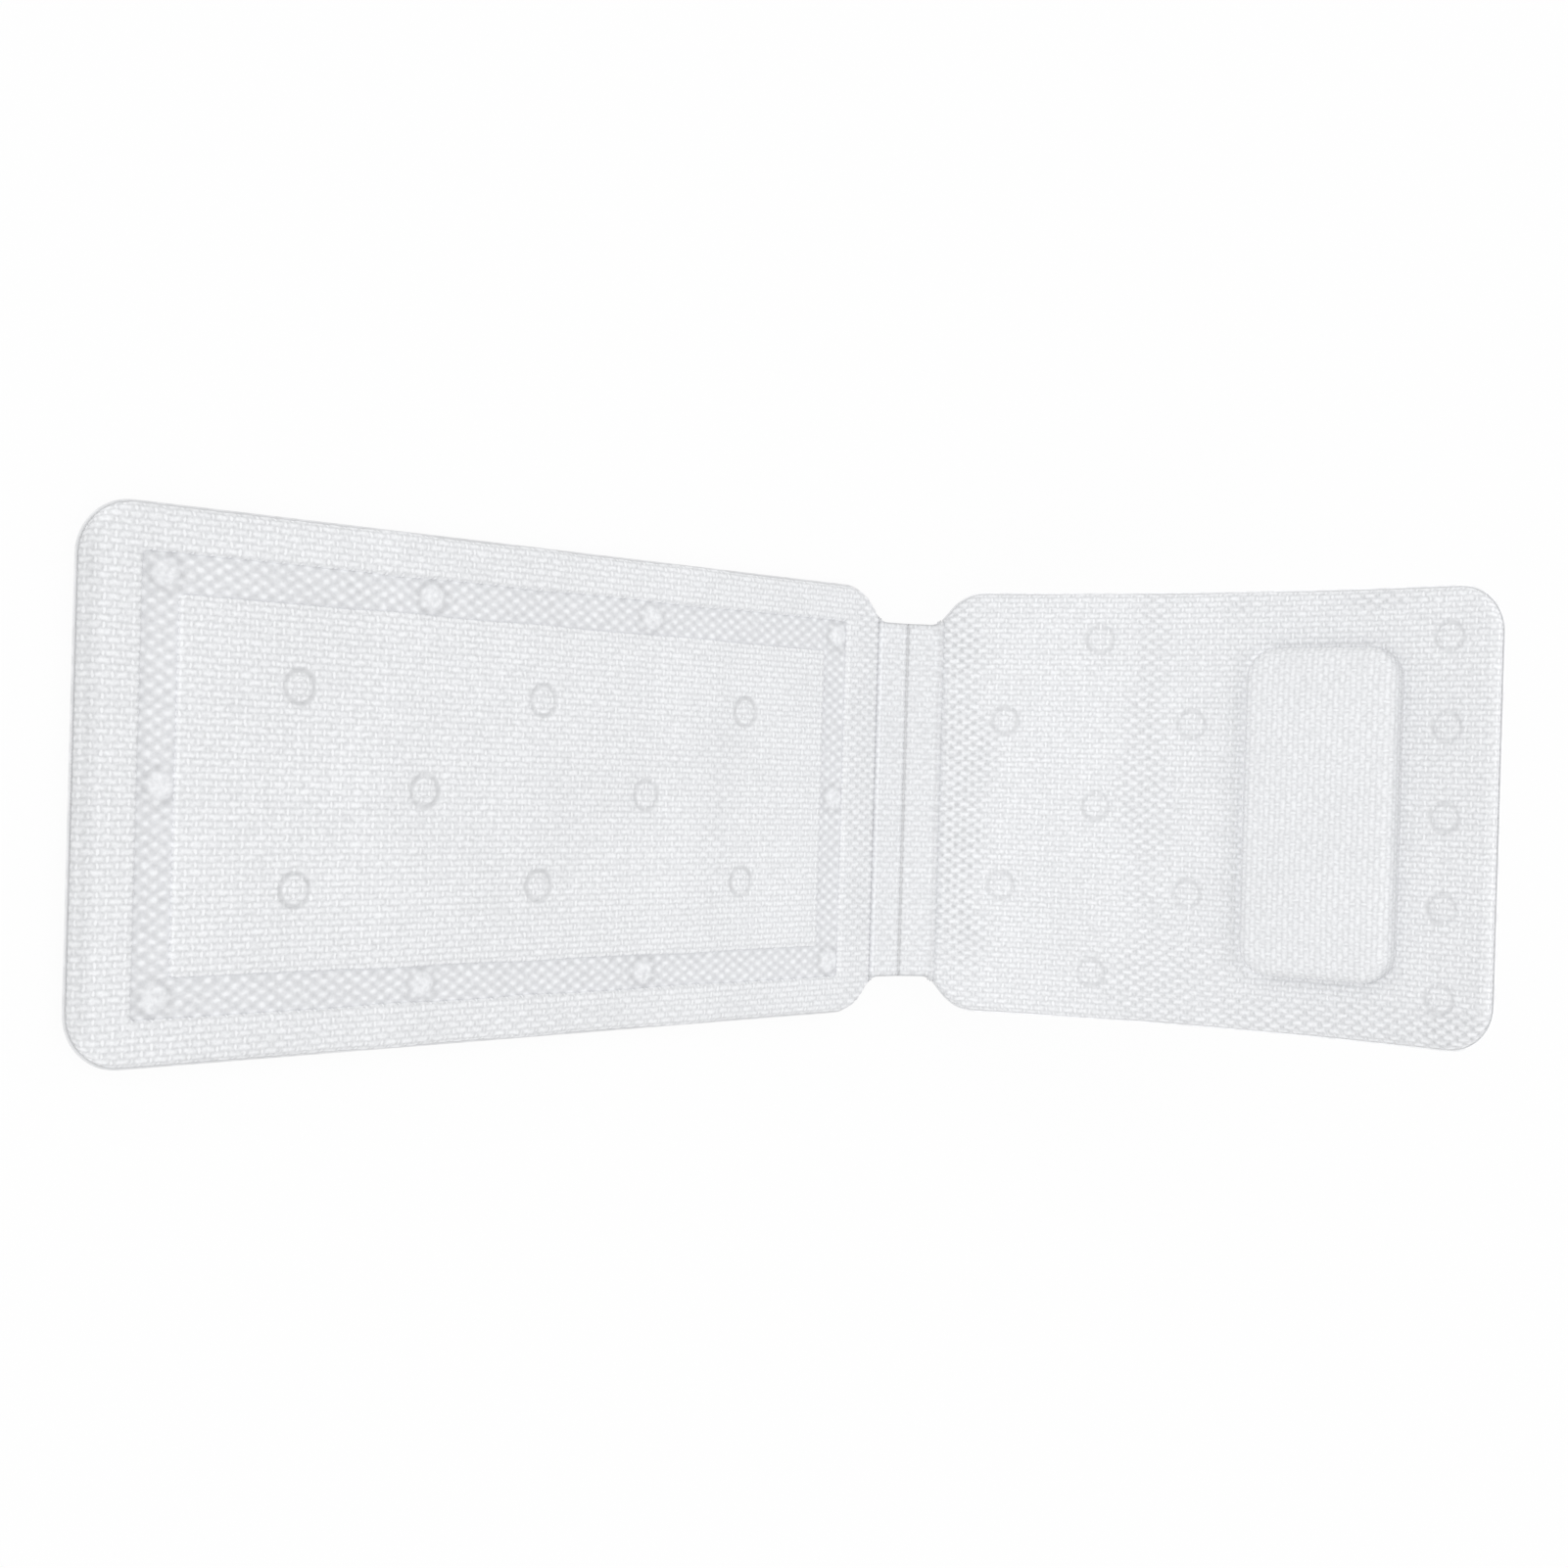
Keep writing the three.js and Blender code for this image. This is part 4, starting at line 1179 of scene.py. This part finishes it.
def cup_mesh():
    """A lathed cup with its lip at height 0: rounded lip, thin bell, waist and weld flange."""
    outer = [(12.6, 0.0), (13.4, 0.05), (13.9, 0.35), (13.8, 0.8), (12.6, 1.7), (11.0, 2.9), (9.2, 4.3),
             (7.8, 5.5), (7.1, 6.3), (7.0, 6.7), (7.6, 7.1), (9.5, 7.35), (12.2, 7.5), (12.9, 7.8),
             (13.0, 8.4), (12.8, 8.9), (12.2, 9.0), (6.0, 9.0)]
    inner = [(2.5, 5.0), (5.0, 4.4), (7.4, 3.2), (9.6, 1.8), (11.4, 0.6), (12.1, 0.1)]
    hollow, crown = (0, 0, 5.2), (0, 0, 9.0)
    profile = np.array(inner + outer)
    count = CUP_SIDES
    angles = np.arange(count) * 2 * math.pi / count
    x = profile[:, 0, None] * np.cos(angles)
    y = profile[:, 0, None] * np.sin(angles)
    z = np.repeat(profile[:, 1, None], count, axis=1)
    points = np.stack([x, y, z], axis=2).reshape(-1, 3)
    index = np.arange(len(points)).reshape(len(profile), count)
    after = np.roll(index, -1, axis=1)
    quads = np.stack([index[:-1], after[:-1], after[1:], index[1:]], axis=2).reshape(-1, 4)
    below = np.column_stack([np.full(count, len(points)), after[0], index[0]])
    above = np.column_stack([np.full(count, len(points) + 1), index[-1], after[-1]])
    return np.vstack([points, hollow, crown]) * MM, quads, np.vstack([below, above])


def cup_material():
    material, nodes, links, shader = node_material("cup")
    m = Maths(nodes, links)
    set_inputs(shader, {"Base Color": (0.68, 0.71, 0.73, 1), "Roughness": 0.2})
    set_inputs(shader, {"Subsurface Weight": 0.3, "Subsurface Radius": (0.004, 0.004, 0.004)})
    links.new(m.bump(m.noise(160.0, 3.0), 0.08, 0.0005), shader.inputs["Normal"])
    return material


def build_cups():
    points, quads, triangles = cup_mesh()
    first = make_mesh("seat_suction_01", points, quads, {}, cup_material(), triangles)
    foot = UNDERSIDE - CUP_GAP - CUP_HEIGHT
    places = [("seat", i, on_seat, x, y) for i, (x, y, _) in enumerate(SEAT_CUPS)]
    places += [("back", i, on_back, x, y) for i, (x, y) in enumerate(BACK_RINGS)]
    for body, i, place, x, y in places:
        name = f"{body}_suction_{i + 1:02d}"
        cup = first if name == first.name else bpy.data.objects.new(name, first.data)
        if cup is not first:
            bpy.context.scene.collection.objects.link(cup)
        stand, above = (Vector(p) for p in place(np.array([[x, y, foot], [x, y, foot + 1.0]])))
        cup.rotation_mode = "QUATERNION"
        cup.rotation_quaternion = (above - stand).to_track_quat("Z", "Y")
        cup.location = stand
        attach(cup, body)
        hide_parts(f"{body}_cup_{i + 1:02d}")


build_cups()


# Light, floor and camera

AMBIENT, SUN_STRENGTH, SUN_SPREAD = 0.79, 0.85, math.radians(80.0)
SUN_FROM = (-0.70, 0.06, 0.71)
CAMERA_LENS, CAMERA_SENSOR, CAMERA_NEAR = 48.345, 36.0, 0.05
CAMERA_PLACE = (-1.04415, 0.01747, 1.25373)
CAMERA_RIGHT = (0.72108363, 0.02883939, 0.69224757)
CAMERA_UP = (-0.01822911, 0.99957715, -0.02265444)
CAMERA_BACK = (-0.69260819, 0.00371669, 0.72130443)


def build_floor():
    corners = np.array([(-1, -1, 0), (1, -1, 0), (1, 1, 0), (-1, 1, 0)]) * FLOOR_HALF
    floor = make_mesh("floor", corners, np.array([[0, 1, 2, 3]]), {}, floor_material())


def build_world():
    world = bpy.data.worlds.new("studio")
    bpy.context.scene.world = world
    world.use_nodes = True
    nodes, links = world.node_tree.nodes, world.node_tree.links
    soft, white = nodes["Background"], nodes.new("ShaderNodeBackground")
    set_inputs(soft, {"Color": (1, 1, 1, 1), "Strength": AMBIENT})
    set_inputs(white, {"Color": (1, 1, 1, 1)})
    shaders = (soft.outputs["Background"], white.outputs["Background"])
    mixed = mixed_by_rays(Maths(nodes, links), 1.0, *shaders)
    links.new(mixed, nodes["World Output"].inputs["Surface"])


def build_sun():
    light = bpy.data.lights.new("key", "SUN")
    light.energy = SUN_STRENGTH
    light.angle = SUN_SPREAD
    lamp = bpy.data.objects.new("key", light)
    lamp.rotation_mode = "QUATERNION"
    lamp.rotation_quaternion = (-Vector(SUN_FROM)).to_track_quat("-Z", "Y")
    bpy.context.scene.collection.objects.link(lamp)


def build_camera():
    camera = bpy.data.objects.new("camera", bpy.data.cameras.new("camera"))
    camera.data.lens = CAMERA_LENS
    camera.data.sensor_width = CAMERA_SENSOR
    camera.data.clip_start = CAMERA_NEAR
    turn = Matrix((CAMERA_RIGHT, CAMERA_UP, CAMERA_BACK)).transposed().to_4x4()
    camera.matrix_world = Matrix.Translation(CAMERA_PLACE) @ turn
    bpy.context.scene.collection.objects.link(camera)
    bpy.context.scene.camera = camera


build_floor()
build_world()
build_sun()
build_camera()
bpy.context.scene.view_settings.view_transform = "Standard"
